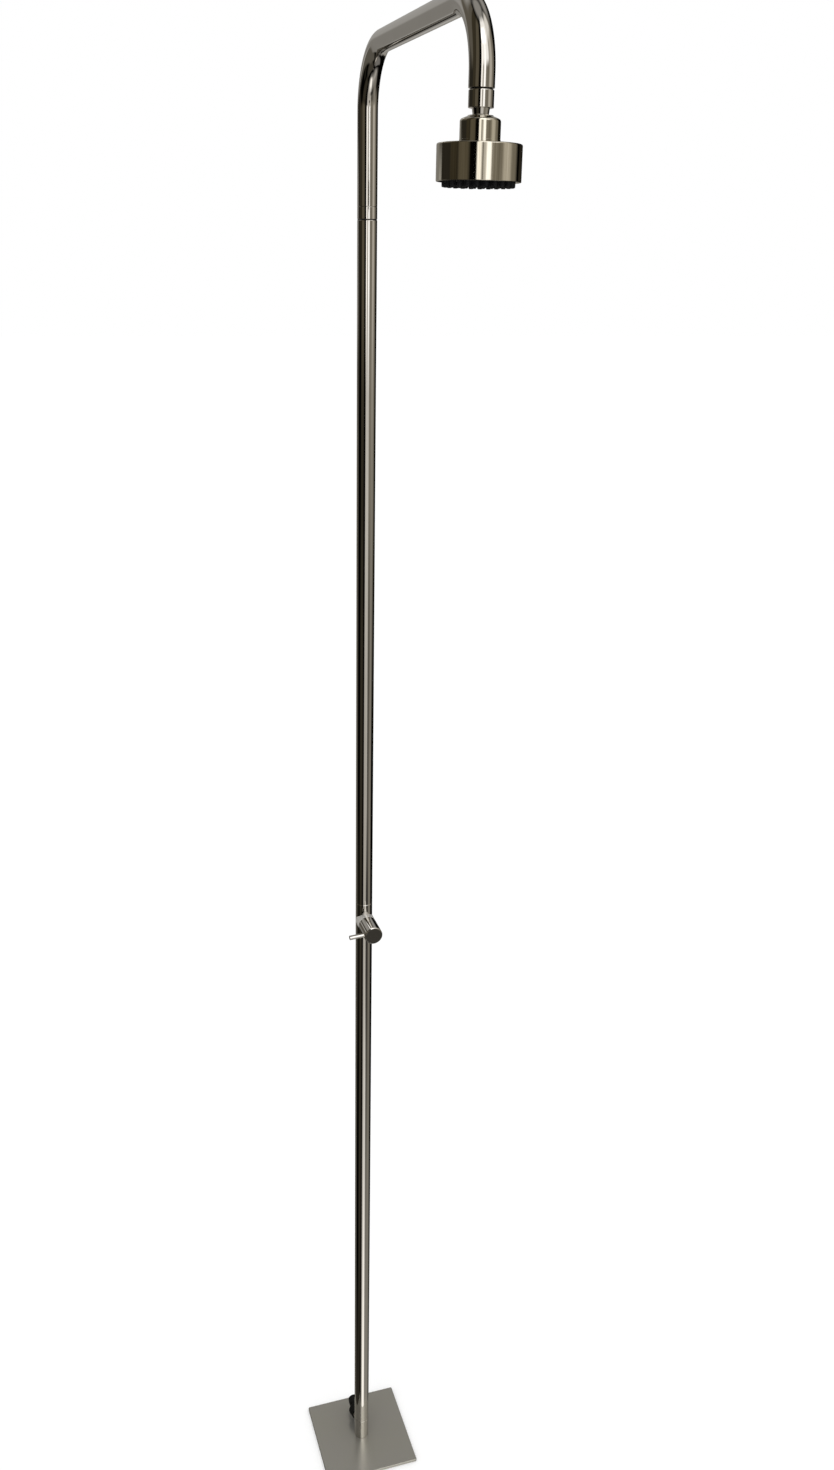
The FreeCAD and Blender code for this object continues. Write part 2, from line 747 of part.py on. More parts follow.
def valve_spindle():
    """The spindle: a tang in the disc's slot, a drive plate, a shaft with a seal groove and a clip groove,
    and a flat near its end for the knob's screw."""
    shaft = spindle_diameter / 2
    plate = disc_radius - 2 * running_clearance
    outline = [
        (0, turning_disc_end),
        (plate, turning_disc_end),
        (plate, drive_end),
        (shaft, drive_end),
        (shaft, spindle_end - seam_chamfer),
        (shaft - seam_chamfer, spindle_end),
        (0, spindle_end),
    ]
    spindle = turned(outline, valve_centre, FRONT)
    sides = Part.makeBox(4 * disc_radius, drive_end - turning_disc_end, 4 * disc_radius,
                         valve_centre + FreeCAD.Vector(-2 * disc_radius, -drive_end, -2 * disc_radius))
    bar = Part.makeBox(drive_tang * 2, drive_end - turning_disc_end, 4 * disc_radius,
                       valve_centre + FreeCAD.Vector(-drive_tang, -drive_end, -2 * disc_radius))
    spindle = spindle.cut(sides.cut(bar))
    half = drive_tang / 2
    reach = math.sqrt(plate ** 2 - half ** 2) - running_clearance
    tongue = Part.makeBox(drive_tang, drive_depth, 2 * reach,
                          valve_centre + FreeCAD.Vector(-half, -turning_disc_end, -reach))
    spindle = spindle.fuse(tongue).removeSplitter()
    groove = seal_groove(shaft + running_clearance, spindle_seal_distance(), small_o_ring_section,
                         valve_centre, FRONT)
    clip_start = cartridge_end + running_clearance
    clip_groove = ring(shaft - clip_width / 2, shaft + cut_margin, clip_start, clip_start + clip_thickness,
                       valve_centre, FRONT)
    flat_length = spindle_end - knob_screw_distance + knob_screw_diameter
    flat = Part.makeBox(4 * shaft, flat_length, 2 * shaft,
                        FreeCAD.Vector(-2 * shaft, -spindle_end, spindle_flat - 3 * shaft))
    flat.rotate(post_foot, BACK, -lever_dip)
    flat.translate(valve_centre)
    return spindle.cut([groove, clip_groove, flat])


def spindle_seal_distance():
    """The spindle's o-ring lies in the middle of the hexagon."""
    return (boss_face + hexagon_end) / 2


def spindle_o_ring():
    return o_ring(spindle_diameter / 2 + running_clearance, spindle_seal_distance(), small_o_ring_section,
                  valve_centre, FRONT)


def spindle_clip():
    """An open spring clip that keeps the spindle in the headwork."""
    shaft = spindle_diameter / 2
    start = cartridge_end + running_clearance
    clip = ring(shaft - clip_width / 2 + seal_clearance, shaft + clip_width / 2, start + seal_clearance,
                start + clip_thickness - seal_clearance, valve_centre, FRONT)
    opening = Part.makeBox(shaft, 2 * clip_thickness, 2 * shaft,
                           valve_centre + FreeCAD.Vector(-shaft / 2, -start - 1.5 * clip_thickness, 0))
    return clip.cut(opening)


def lever_direction():
    """The lever points sideways and dips a little when the valve is shut."""
    dip = math.radians(lever_dip)
    return FreeCAD.Vector(-math.cos(dip), 0, -math.sin(dip))


def knob_screw_direction():
    """The knob's screw comes from below, square to the lever."""
    dip = math.radians(lever_dip)
    return FreeCAD.Vector(math.sin(dip), 0, -math.cos(dip))


def valve_knob():
    """The round knob: hollow round the hexagon, bored for the spindle, drilled for lever and screw."""
    radius = knob_diameter / 2
    hollow_end = cartridge_end + clip_thickness + knob_gap
    bore = spindle_diameter / 2 + seal_clearance
    outline = [
        (knob_hollow_diameter / 2, knob_start),
        (radius - knob_back_chamfer, knob_start),
        (radius, knob_start + knob_back_chamfer),
        (radius, knob_face - knob_face_chamfer),
        (radius - knob_face_chamfer, knob_face),
        (0, knob_face),
        (0, spindle_end + knob_gap),
        (bore, spindle_end + knob_gap),
        (bore, hollow_end),
        (knob_hollow_diameter / 2, hollow_end),
    ]
    knob = turned(outline, valve_centre, FRONT)
    lever_hole = ring(0, lever_diameter / 2 + thread_clearance, radius - lever_depth, knob_diameter,
                      valve_centre + FRONT * lever_distance, lever_direction())
    screw_hole = ring(0, knob_screw_diameter / 2 + thread_clearance, 0, knob_diameter,
                      valve_centre + FRONT * knob_screw_distance, knob_screw_direction())
    return knob.cut([lever_hole, screw_hole])


def lever_pin():
    outline = [
        (0, knob_diameter / 2 - lever_depth),
        (lever_diameter / 2, knob_diameter / 2 - lever_depth),
        (lever_diameter / 2, lever_reach - lever_chamfer),
        (lever_diameter / 2 - lever_chamfer, lever_reach),
        (0, lever_reach),
    ]
    return turned(outline, valve_centre + FRONT * lever_distance, lever_direction())


def knob_screw():
    place = valve_centre + FRONT * knob_screw_distance
    start = place + knob_screw_direction() * (spindle_diameter / 2 - spindle_flat)
    end = place + knob_screw_direction() * (knob_diameter / 2 - knob_screw_recess)
    return socket_screw(knob_screw_diameter, knob_screw_key, start, end)


# --- Outlet and ball joint -----------------------------------------------------------------------

def outlet_nipple():
    """The threaded end fixed in the arm: a spigot in the tube and the thread that carries the head."""
    outline = [
        (nipple_bore / 2, -nipple_spigot_length),
        (arm_spigot_radius - groove_chamfer, -nipple_spigot_length),
        (arm_spigot_radius, -nipple_spigot_length + groove_chamfer),
        (arm_spigot_radius, 0),
        (outlet_thread_diameter / 2, 0),
        (outlet_thread_diameter / 2, outlet_thread_length),
        (nipple_bore / 2, outlet_thread_length),
    ]
    return turned(outline, outlet_centre, DOWN)


def outlet_washer():
    return ring(nipple_bore / 2, outlet_thread_diameter / 2, washer_top_drop, washer_seat_drop,
                outlet_centre, DOWN)


def filter_screen():
    """A thin holed disc inside the washer that keeps grit out of the nozzles."""
    screen = ring(0, nipple_bore / 2 - seal_clearance, washer_seat_drop - filter_thickness, washer_seat_drop,
                  outlet_centre, DOWN)
    places = [(0, 0)] + around(filter_holes, filter_hole_circle / 2)
    holes = []
    for x, y in places:
        place = outlet_centre + FreeCAD.Vector(x, y, 0)
        holes.append(ring(0, filter_hole_diameter / 2, washer_top_drop, washer_seat_drop + cut_margin,
                          place, DOWN))
    return screen.cut(holes)


def ball_fitting():
    """The nut, neck and ball turned in one piece, screwed on the outlet's thread."""
    nut = tube_radius - nut_inset
    top = ball_drop - nut_gap
    nut_bottom = top - nut_length
    neck_angle = math.degrees(math.asin(neck_foot_diameter / 2 / ball_radius))
    bottom_angle = 180 - math.degrees(math.asin((ball_bore / 2 + ball_mouth_width) / ball_radius))
    seat = ball_drop - washer_seat_drop
    thread = outlet_thread_diameter / 2 + thread_clearance
    outline = [
        (thread, top),
        (nut - nut_top_chamfer, top),
        (nut, top - nut_top_chamfer),
        (nut, nut_bottom + nut_bottom_chamfer),
        (nut - nut_bottom_chamfer, nut_bottom),
        (neck_top_diameter / 2, nut_bottom),
        polar(ball_radius, neck_angle),
        (polar(ball_radius, (neck_angle + bottom_angle) / 2), polar(ball_radius, bottom_angle)),
        (ball_bore / 2, polar(ball_radius, bottom_angle)[1]),
        (ball_bore / 2, seat - restrictor_length),
        (restrictor_diameter / 2 + thread_clearance, seat - restrictor_length),
        (restrictor_diameter / 2 + thread_clearance, seat),
        (thread, seat),
    ]
    return turned(outline, ball_centre, UP)


def flow_restrictor():
    return ring(restrictor_bore / 2, restrictor_diameter / 2, washer_seat_drop,
                washer_seat_drop + restrictor_length, outlet_centre, DOWN)


def upper_ball_seat():
    return ball_zone(seat_inner_radius, seat_outer_radius, upper_seat_angles)


def ball_seal_place():
    """Ring radius and height of the seal that lies in the lower seat, against the ball."""
    return polar(seat_inner_radius + small_o_ring_section / 2 - seat_gap / 2, ball_seal_angle)


def seal_ring_round_ball(section):
    """A ring lying in the lower seat, a little proud of it towards the ball."""
    radius, height = ball_seal_place()
    side = section / 2
    outline = [(radius - side, height), ((radius, height + side), (radius + side, height)),
               ((radius, height - side), (radius - side, height))]
    return turned(outline, ball_centre, UP)


def lower_ball_seat():
    zone = ball_zone(seat_inner_radius, seat_outer_radius, lower_seat_angles)
    grooved = zone.cut(seal_ring_round_ball(small_o_ring_section))
    return max(grooved.Solids, key=lambda solid: solid.Volume)


def ball_seal():
    return seal_ring_round_ball(small_o_ring_section - 2 * seal_clearance)


def hub_split_height():
    """Height under the ball's centre at which the hub meets the drum's threaded collar."""
    return -hub_thread_depth


def hub_nut():
    """The domed hub that holds the ball: a mouth wide enough for the neck as the head tilts, half a ball
    pocket, and a thread."""
    radius = hub_diameter / 2
    foot = hub_foot_diameter / 2
    foot_top = hub_foot_height - drum_drop
    split = hub_split_height()
    split_radius = math.sqrt(pocket_radius ** 2 - split ** 2)
    split_angle = math.degrees(math.acos(split / pocket_radius))
    thread = hub_thread_diameter / 2 + thread_clearance
    dome_foot = polar(hub_dome_radius, hub_dome_angle)
    dome_top = polar(hub_dome_radius, mouth_angle)
    dome_middle = polar(hub_dome_radius, (mouth_angle + hub_dome_angle) / 2)
    shoulder = (radius, hub_shoulder_height)
    outline = [
        (thread, -drum_drop),
        (foot, -drum_drop),
        (foot, foot_top - hub_foot_chamfer),
        (foot - hub_foot_chamfer, foot_top),
        (radius, foot_top),
    ]
    outline += rounded((radius, foot_top), shoulder, dome_foot, hub_shoulder_radius)
    outline += [
        dome_foot,
        (dome_middle, dome_top),
        polar(pocket_radius, mouth_angle),
        (polar(pocket_radius, (mouth_angle + split_angle) / 2), (split_radius, split)),
        (thread, split),
    ]
    return turned(outline, ball_centre, UP)


# --- Drum head -----------------------------------------------------------------------------------
def nozzle_places():
    """The (x, y) places of all nozzles: rings that step inwards from the drum's edge."""
    places = []
    outer = drum_diameter / 2 - nozzle_edge_margin
    for step, (count, turn) in enumerate(zip(nozzle_ring_counts, nozzle_ring_turns)):
        places += around(count, outer - step * nozzle_ring_pitch, turn)
    return places


def face_screw_places():
    """The screws stand midway between the two outer rings of nozzles."""
    radius = drum_diameter / 2 - nozzle_edge_margin - nozzle_ring_pitch / 2
    return around(face_screw_count, radius, face_screw_turn)


def drum_rods(places, radius, start, end):
    """Upright rods in the drum at places measured from its axis, between two heights."""
    return [ring(0, radius, start, end, head_foot + FreeCAD.Vector(x, y, 0), UP) for x, y in places]


def head_shell():
    """The drum: a thin cup with a threaded collar that holds the lower half of the ball pocket, and three
    posts inside for the face's screws."""
    radius = drum_diameter / 2
    top = -drum_drop
    bottom = top - drum_height
    split = hub_split_height() - seal_clearance
    split_radius = math.sqrt(pocket_radius ** 2 - split ** 2)
    collar = hub_thread_diameter / 2
    mouth = drum_inlet_diameter / 2
    mouth_angle_below = 180 - math.degrees(math.asin(mouth / pocket_radius))
    split_angle = math.degrees(math.acos(split / pocket_radius))
    outline = [
        (split_radius, split),
        (collar, split),
        (collar, top),
    ]
    outline += rounded((collar, top), (radius, top), (radius, bottom), drum_edge_radius)
    outline += [
        (radius, bottom + drum_rim_chamfer),
        (radius - drum_rim_chamfer, bottom),
        (drum_bore_radius, bottom),
        (drum_bore_radius, top - drum_top),
        (mouth, top - drum_top),
        polar(pocket_radius, mouth_angle_below),
        (polar(pocket_radius, (split_angle + mouth_angle_below) / 2), (split_radius, split)),
    ]
    shell = turned(outline, ball_centre, UP)
    ceiling = drum_top_height - drum_top / 2
    posts = drum_rods(face_screw_places(), face_post_diameter / 2, chamber_floor_height, ceiling)
    threads = drum_rods(face_screw_places(), face_screw_diameter / 2 + thread_clearance,
                        chamber_floor_height - cut_margin, face_screw_end + thread_clearance)
    return shell.fuse(posts).removeSplitter().cut(threads)


def back_plate():
    """The plastic plate that feeds each nozzle and is sealed against the drum's wall."""
    bottom = back_plate_height - cut_margin
    top = chamber_floor_height + cut_margin
    plate = ring(0, drum_bore_radius - face_gap, back_plate_height, chamber_floor_height, head_foot, UP)
    feeds = drum_rods(nozzle_places(), feed_hole_diameter / 2, bottom, top)
    bolts = drum_rods(face_screw_places(), face_screw_diameter / 2 + thread_clearance, bottom, top)
    groove = seal_groove(drum_bore_radius, back_plate_seal_height, o_ring_section, head_foot, UP)
    return plate.cut(feeds + bolts).cut(groove)


def back_plate_o_ring():
    return o_ring(drum_bore_radius, back_plate_seal_height, o_ring_section, head_foot, UP)


def nozzle_mat():
    """The rubber mat with its cone-shaped nozzles."""
    mat = ring(0, drum_bore_radius - face_gap, mat_height, back_plate_height, head_foot, UP)
    root = nozzle_root_diameter / 2
    tip = nozzle_tip_diameter / 2
    cones = []
    for x, y in nozzle_places():
        place = head_foot + FreeCAD.Vector(x, y, mat_height)
        cones.append(Part.makeCone(root, tip, nozzle_length, place, DOWN))
    top = back_plate_height + cut_margin
    bores = drum_rods(nozzle_places(), nozzle_bore / 2, mat_height - nozzle_length - cut_margin, top)
    bolts = drum_rods(face_screw_places(), face_screw_diameter / 2 + thread_clearance,
                      mat_height - cut_margin, top)
    return mat.fuse(cones).cut(bores + bolts)


def face_plate():
    """The thin steel face that the nozzles come through."""
    bottom = face_height - cut_margin
    top = mat_height + cut_margin
    plate = ring(0, drum_bore_radius - face_gap, face_height, mat_height, head_foot, UP)
    nozzle_holes = drum_rods(nozzle_places(), nozzle_root_diameter / 2 + nozzle_hole_gap, bottom, top)
    bolts = drum_rods(face_screw_places(), face_screw_diameter / 2 + thread_clearance, bottom, top)
    return plate.cut(nozzle_holes + bolts)


def face_screws():
    """The three screws that clamp face, mat and back plate to the drum's posts."""
    shank = face_screw_diameter / 2
    head = face_screw_head_diameter / 2
    outline = [
        (0, face_height - face_screw_head_height),
        (head / 2, face_height - face_screw_head_height),
        (head - seam_chamfer, face_height - face_screw_head_height / 2),
        (head, face_height),
        (shank, face_height),
        (shank, face_screw_end),
        (0, face_screw_end),
    ]
    return [turned(outline, head_foot + FreeCAD.Vector(x, y, 0), UP) for x, y in face_screw_places()]


# --- Write every piece ---------------------------------------------------------------------------
PIECES = (
    base_plate, foot_screws, foot_block, foot_o_ring,
    inlet_stub, inlet_washer, hose_connector, connector_o_ring,
    lower_tube, mid_tube, joint_ferrule, ferrule_o_rings, arm_tube,
    valve_body, valve_body_o_rings, valve_boss, boss_screw,
    cartridge_seal, cartridge_body, fixed_disc, turning_disc,
    valve_spindle, spindle_o_ring, spindle_clip, valve_knob, lever_pin, knob_screw,
    outlet_nipple, outlet_washer, filter_screen, ball_fitting, flow_restrictor,
    upper_ball_seat, lower_ball_seat, ball_seal, hub_nut,
    head_shell, back_plate, back_plate_o_ring, nozzle_mat, face_plate, face_screws,
)

os.makedirs("parts", exist_ok=True)
for piece in PIECES:
    made = piece()
    alike = made if isinstance(made, list) else [made]
    for number, shape in enumerate(alike, start=1):
        name = piece.__name__ if shape is made else piece.__name__[:-1] + "_" + str(number)
        if not shape.isValid() or len(shape.Solids) != 1:
            print("not one valid solid:", name)
        shape.exportStep("parts/" + name + ".step")
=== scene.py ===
import json
import math

import bpy
from mathutils import Matrix, Vector


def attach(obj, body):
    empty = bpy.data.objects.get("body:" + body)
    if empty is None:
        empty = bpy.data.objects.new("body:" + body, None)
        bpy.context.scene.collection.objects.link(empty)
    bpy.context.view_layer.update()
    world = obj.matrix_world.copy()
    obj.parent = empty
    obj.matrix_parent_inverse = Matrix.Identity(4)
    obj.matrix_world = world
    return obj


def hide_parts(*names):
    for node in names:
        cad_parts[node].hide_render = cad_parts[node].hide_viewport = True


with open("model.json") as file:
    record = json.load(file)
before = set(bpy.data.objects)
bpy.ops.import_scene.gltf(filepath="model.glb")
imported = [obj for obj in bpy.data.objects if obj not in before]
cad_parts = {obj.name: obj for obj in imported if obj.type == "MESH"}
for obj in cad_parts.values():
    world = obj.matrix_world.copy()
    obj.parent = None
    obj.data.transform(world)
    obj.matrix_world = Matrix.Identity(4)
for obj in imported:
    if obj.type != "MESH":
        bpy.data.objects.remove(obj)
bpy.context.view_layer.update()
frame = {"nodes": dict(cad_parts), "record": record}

MM = 0.001
CLOSE = 1e-6
ZERO_LENGTH = 1e-9
SAME_PLACE = 0.01
nodes = frame["nodes"]
scene = bpy.context.scene

# --- Sizes of the object, in millimetres, as the solids have them -------------------------------------------
# Radii
TUBE = 12.5
POST_BORE = 10.5
ARM_BORE = 11.5
SPIGOT = 10.45
SPIGOT_BORE = 7.85
BEND = 68.0
KNOB = 13.5
DRUM = 41.0
DRUM_BORE = 39.8
BALL_ROOM = 13.7

# Lengths and heights
PLATE_TOP = 5.0
INLET = 24.0
FOOT_JOINT = 45.0
VALVE = 1063.5
VALVE_JOINT = 1092.0
TOP_JOINT = 2048.0
ARM_START = 2063.0
DRUM_BOTTOM = 2075.7
NOZZLE_ROOT = 2079.5
DRUM_TOP = 2109.1
BALL = 2124.5
OUTLET = 2156.4
TOP = 2250.0
BEND_HEIGHT = TOP - TUBE - BEND
REACH = 400.0
SPIGOT_LENGTH = 18.0
BOSS_FACE = 20.5
KNOB_FACE = 56.0

LEVER_DIP = math.radians(4.0)
FLUTES = 16
NOZZLE_RINGS = ((24, 7.5), (18, 0.0), (12, 0.0), (6, 0.0), (1, 0.0))   # how many, and a turn in degrees

# Roundings of edges
SEAM = 0.35
SOFT_EDGE = 0.5

UP = Vector((0, 0, 1))
DOWN = Vector((0, 0, -1))
FRONT = Vector((0, -1, 0))
BACK = Vector((0, 1, 0))
POST_AXIS = Vector((0, 0, 0))
HEAD_AXIS = Vector((0, -REACH, 0))
VALVE_CENTRE = Vector((0, 0, VALVE))
INLET_CENTRE = Vector((0, 0, INLET))
BALL_CENTRE = Vector((0, -REACH, BALL))


# --- Shader maths -------------------------------------------------------------------------------------------
# Sockets of a Mix node that mixes colours.
MIX_AMOUNT, MIX_FIRST, MIX_SECOND = 0, 6, 7
MIX_RESULT = 2
GRAIN_DEPTH = 0.0002


class Value:
    """A socket of a finish. Its operators add Math nodes."""

    def __init__(self, finish, socket):
        self.finish = finish
        self.socket = socket

    def _math(self, operation, *numbers):
        node = self.finish.node("ShaderNodeMath", {"operation": operation}, dict(enumerate(numbers)))
        return Value(self.finish, node.outputs[0])

    def __add__(self, other):
        return self._math("ADD", self, other)

    def __radd__(self, other):
        return self._math("ADD", other, self)

    def __sub__(self, other):
        return self._math("SUBTRACT", self, other)

    def __rsub__(self, other):
        return self._math("SUBTRACT", other, self)

    def __mul__(self, other):
        return self._math("MULTIPLY", self, other)

    def __rmul__(self, other):
        return self._math("MULTIPLY", other, self)

    def __truediv__(self, other):
        return self._math("DIVIDE", self, other)

    def clamped(self, low, high):
        node = self.finish.node("ShaderNodeClamp", {}, {"Value": self, "Min": low, "Max": high})
        return Value(self.finish, node.outputs[0])


class Finish:
    """A material or world that is built from nodes."""

    def __init__(self, name, owner=None):
        self.owner = owner or bpy.data.materials.new(name)
        self.owner.use_nodes = True
        self.tree = self.owner.node_tree
        self.tree.nodes.clear()

    def node(self, kind, settings=None, inputs=None):
        """Adds a node. Its inputs are linked to values and sockets, or set to constants."""
        made = self.tree.nodes.new(kind)
        for key, value in (settings or {}).items():
            setattr(made, key, value)
        for key, value in (inputs or {}).items():
            socket = made.inputs[key]
            if isinstance(value, Value):
                value = value.socket
            if isinstance(value, bpy.types.NodeSocket):
                self.tree.links.new(value, socket)
            else:
                socket.default_value = value
        return made

    def value(self, kind, settings=None, inputs=None):
        return Value(self, self.node(kind, settings, inputs).outputs[0])

    def object_place(self, scale=(1, 1, 1), shift=(0, 0, 0)):
        """Object coordinates, scaled and shifted."""
        coordinates = self.node("ShaderNodeTexCoord").outputs["Object"]
        mapping = self.node("ShaderNodeMapping", {},
                            {"Vector": coordinates, "Scale": scale, "Location": shift})
        return mapping.outputs[0]

    def axes(self, place):
        """The x, y and z of a vector."""
        parts = self.node("ShaderNodeSeparateXYZ", {}, {0: place})
        return [Value(self, parts.outputs[axis]) for axis in range(3)]

    def noise(self, scale, detail, stretch=(1, 1, 1)):
        return self.value("ShaderNodeTexNoise", {}, {"Vector": self.object_place(stretch), "Scale": scale,
                                                     "Detail": detail})

    def mixed(self, amount, first, second):
        mix = self.node("ShaderNodeMix", {"data_type": "RGBA"},
                        {MIX_AMOUNT: amount, MIX_FIRST: first, MIX_SECOND: second})
        return mix.outputs[MIX_RESULT]

    def bumped(self, height, strength):
        return self.node("ShaderNodeBump", {}, {"Height": height, "Strength": strength,
                                                "Distance": GRAIN_DEPTH}).outputs[0]

    def surface(self, **inputs):
        """Ends the finish in a Principled shader with these sockets."""
        sockets = {name.replace("_", " "): value for name, value in inputs.items()}
        shader = self.node("ShaderNodeBsdfPrincipled", {}, sockets)
        self.node("ShaderNodeOutputMaterial", {}, {"Surface": shader.outputs[0]})
        return self.owner


def rgb(red, green, blue):
    """A colour as a socket takes it."""
    return (red, green, blue, 1.0)


# --- Finishes -----------------------------------------------------------------------------------------------
def polished_steel():
    """The tubes' polish, with a faint haze and fine rubbed lines along them."""
    finish = Finish("polished_steel")
    haze = finish.noise(scale=38.0, detail=3.0)
    rub = finish.noise(scale=900.0, detail=2.0, stretch=(1, 1, 0.06))
    return finish.surface(Base_Color=finish.mixed(haze, rgb(0.61, 0.59, 0.56), rgb(0.66, 0.64, 0.61)),
                          Metallic=1.0, Roughness=0.035 + 0.03 * haze + 0.02 * rub)


def turned_steel():
    """Steel turned on a lathe, for the drum and hub. Its colour has fine upright bands round the axis: partly
    the grain's own tone, partly painted sheen, the light and dark bands that brushed steel reflects.
    """
    finish = Finish("turned_steel")
    x, y, _ = finish.axes(finish.object_place(shift=(0, REACH * MM, 0)))
    angle = finish.value("ShaderNodeMath", {"operation": "ARCTAN2"}, {0: x, 1: y})
    sheen_and_grain = finish.value("ShaderNodeTexNoise", {"noise_dimensions": "1D"},
                          {"W": angle, "Scale": 26.0, "Detail": 5.0, "Roughness": 0.75})
    fleck = finish.noise(scale=700.0, detail=2.0, stretch=(1, 1, 0.05))
    # Painted sheen: the noise round the axis, with its contrast raised, lays light and dark upright bands
    # into the colour. The fleck adds the grain's own tone.
    contrast = 2.2
    tone = (sheen_and_grain * 0.75 + fleck * 0.25 - 0.5) * contrast + 0.5
    return finish.surface(Base_Color=finish.mixed(tone.clamped(0.0, 1.0), rgb(0.46, 0.42, 0.335),
                                                  rgb(0.78, 0.745, 0.66)),
                          Metallic=1.0, Roughness=0.04 + 0.06 * sheen_and_grain)


def satin_steel():
    """Machined steel that isn't polished: screws, fittings and stub."""
    finish = Finish("satin_steel")
    grain = finish.noise(scale=1500.0, detail=2.0, stretch=(1, 0.05, 1))
    return finish.surface(Base_Color=finish.mixed(grain, rgb(0.56, 0.54, 0.51), rgb(0.62, 0.60, 0.57)),
                          Metallic=1.0, Roughness=0.24 + 0.08 * grain,
                          Normal=finish.bumped(grain, strength=0.04))


def pale_sheen_steel():
    """The welded boss's dull steel. Its paler colour, partly diffuse, is painted sheen: it stands in for the
    lighter reflection that the boss's different brushing gives.
    """
    finish = Finish("pale_sheen_steel")
    grain = finish.noise(scale=1800.0, detail=3.0)
    return finish.surface(Base_Color=finish.mixed(grain, rgb(0.66, 0.64, 0.60), rgb(0.76, 0.74, 0.70)),
                          Metallic=0.55, Roughness=0.34 + 0.12 * grain,
                          Normal=finish.bumped(grain, strength=0.2))


def painted_shade_thread():
    """Painted shade: near-black steel for a thread down in a joint's gap, where the joint's shade falls."""
    finish = Finish("painted_shade_thread")
    grain = finish.noise(scale=900.0, detail=2.0)
    return finish.surface(Base_Color=rgb(0.03, 0.028, 0.024), Metallic=0.6, Roughness=0.45 + 0.1 * grain)


def plate_steel():
    """The base plate's ground sheet: a fine grain along it and clouds of grey and olive."""
    finish = Finish("plate_steel")
    grain = finish.noise(scale=900.0, detail=3.0, stretch=(0.03, 1, 1))
    cloud = finish.noise(scale=14.0, detail=3.0)
    return finish.surface(Base_Color=finish.mixed(cloud, rgb(0.375, 0.36, 0.342), rgb(0.385, 0.376, 0.318)),
                          Metallic=0.65, Roughness=0.2 + 0.06 * grain + 0.04 * cloud,
                          Normal=finish.bumped(grain, strength=0.03))


def black_plastic():
    """The hose connector's moulded plastic."""
    finish = Finish("black_plastic")
    grain = finish.noise(scale=2600.0, detail=2.0)
    return finish.surface(Base_Color=rgb(0.006, 0.006, 0.006), Roughness=0.4 + 0.12 * grain,
                          Specular_IOR_Level=0.2, Normal=finish.bumped(grain, strength=0.15))


def black_rubber():
    """O-rings, seals and nozzles."""
    finish = Finish("black_rubber")
    grain = finish.noise(scale=1800.0, detail=2.0)
    return finish.surface(Base_Color=rgb(0.008, 0.008, 0.009), Roughness=0.5 + 0.15 * grain,
                          Specular_IOR_Level=0.15, Normal=finish.bumped(grain, strength=0.1))


def turned_brass():
    finish = Finish("turned_brass")
    grain = finish.noise(scale=1200.0, detail=2.0)
    return finish.surface(Base_Color=finish.mixed(grain, rgb(0.60, 0.43, 0.19), rgb(0.66, 0.48, 0.23)),
                          Metallic=1.0, Roughness=0.22 + 0.1 * grain)


def white_plastic():
    finish = Finish("white_plastic")
    grain = finish.noise(scale=2200.0, detail=2.0)
    return finish.surface(Base_Color=rgb(0.74, 0.74, 0.72), Roughness=0.36 + 0.1 * grain)


def ground_ceramic():
    finish = Finish("ground_ceramic")
    grain = finish.noise(scale=2500.0, detail=2.0)
    return finish.surface(Base_Color=rgb(0.82, 0.81, 0.77), Roughness=0.2 + 0.1 * grain)


TURNED = turned_steel()
PALE_SHEEN = pale_sheen_steel()
THREAD_SHADE = painted_shade_thread()
FINISHES = {
    "steel_polished": polished_steel(),
    "steel_satin": satin_steel(),
    "steel_plate": plate_steel(),
    "black_plastic": black_plastic(),
    "rubber": black_rubber(),
    "brass": turned_brass(),
    "white_plastic": white_plastic(),
    "ceramic": ground_ceramic(),
}
slot_of = {entry["node"]: entry["material_slot"] for entry in frame["record"]["subparts"]}
for name, node in nodes.items():
    node.data.materials.clear()
    # The outlet nipple shows in the gap between arm and nut. It gets the near-black thread finish, which is
    # painted shade.
    node.data.materials.append(THREAD_SHADE if name == "outlet_nipple" else FINISHES[slot_of[name]])


# --- Ways of making a piece ---------------------------------------------------------------------------------
def straight_path(place, axis):
    """Where a straight axis is at a distance along it, with two directions across it."""
    axis = Vector(axis).normalized()
    across = Vector((1, 0, 0)) if abs(axis.x) < 0.9 else Vector((0, 0, 1))
    first = (across - axis * across.dot(axis)).normalized()
    second = axis.cross(first)
    return lambda distance: (Vector(place) + axis * distance, first, second)


def with_fillets(outline, closed):
    """Outline corners (radius, distance[, fillet]) as points, each with its normal, or None where sharp."""
    corners = [(entry[0], entry[1], entry[2] if len(entry) > 2 else 0.0) for entry in outline]
    area = sum(a[0] * b[1] - b[0] * a[1] for a, b in zip(corners, corners[1:] + corners[:1]))
    if area < 0:
        corners.reverse()
    points = []
    count = len(corners)
    longest_share = 0.49
    step_angle = math.radians(18)
    for number, (radius, distance, fillet) in enumerate(corners):
        here = Vector((radius, distance))
        ends = not closed and number in (0, count - 1)
        if fillet <= 0 or ends:
            points.append((here, None))
            continue
        before = Vector(corners[number - 1][:2]) - here
        after = Vector(corners[(number + 1) % count][:2]) - here
        limit = longest_share * min(before.length, after.length)
        before.normalize()
        after.normalize()
        half = before.angle(after) / 2
        reach = min(fillet / math.tan(half), limit)
        fillet = reach * math.tan(half)
        start = here + before * reach
        centre = here + (before + after).normalized() * (fillet / math.sin(half))
        turn = math.pi - 2 * half
        hand = 1 if before.x * after.y - before.y * after.x < 0 else -1
        steps = max(2, round(turn / step_angle))
        spoke = start - centre
        for step in range(steps + 1):
            angle = hand * turn * step / steps
            arm = Vector((spoke.x * math.cos(angle) - spoke.y * math.sin(angle),
                          spoke.x * math.sin(angle) + spoke.y * math.cos(angle)))
            points.append((centre + arm, arm.normalized() * hand))
    return points


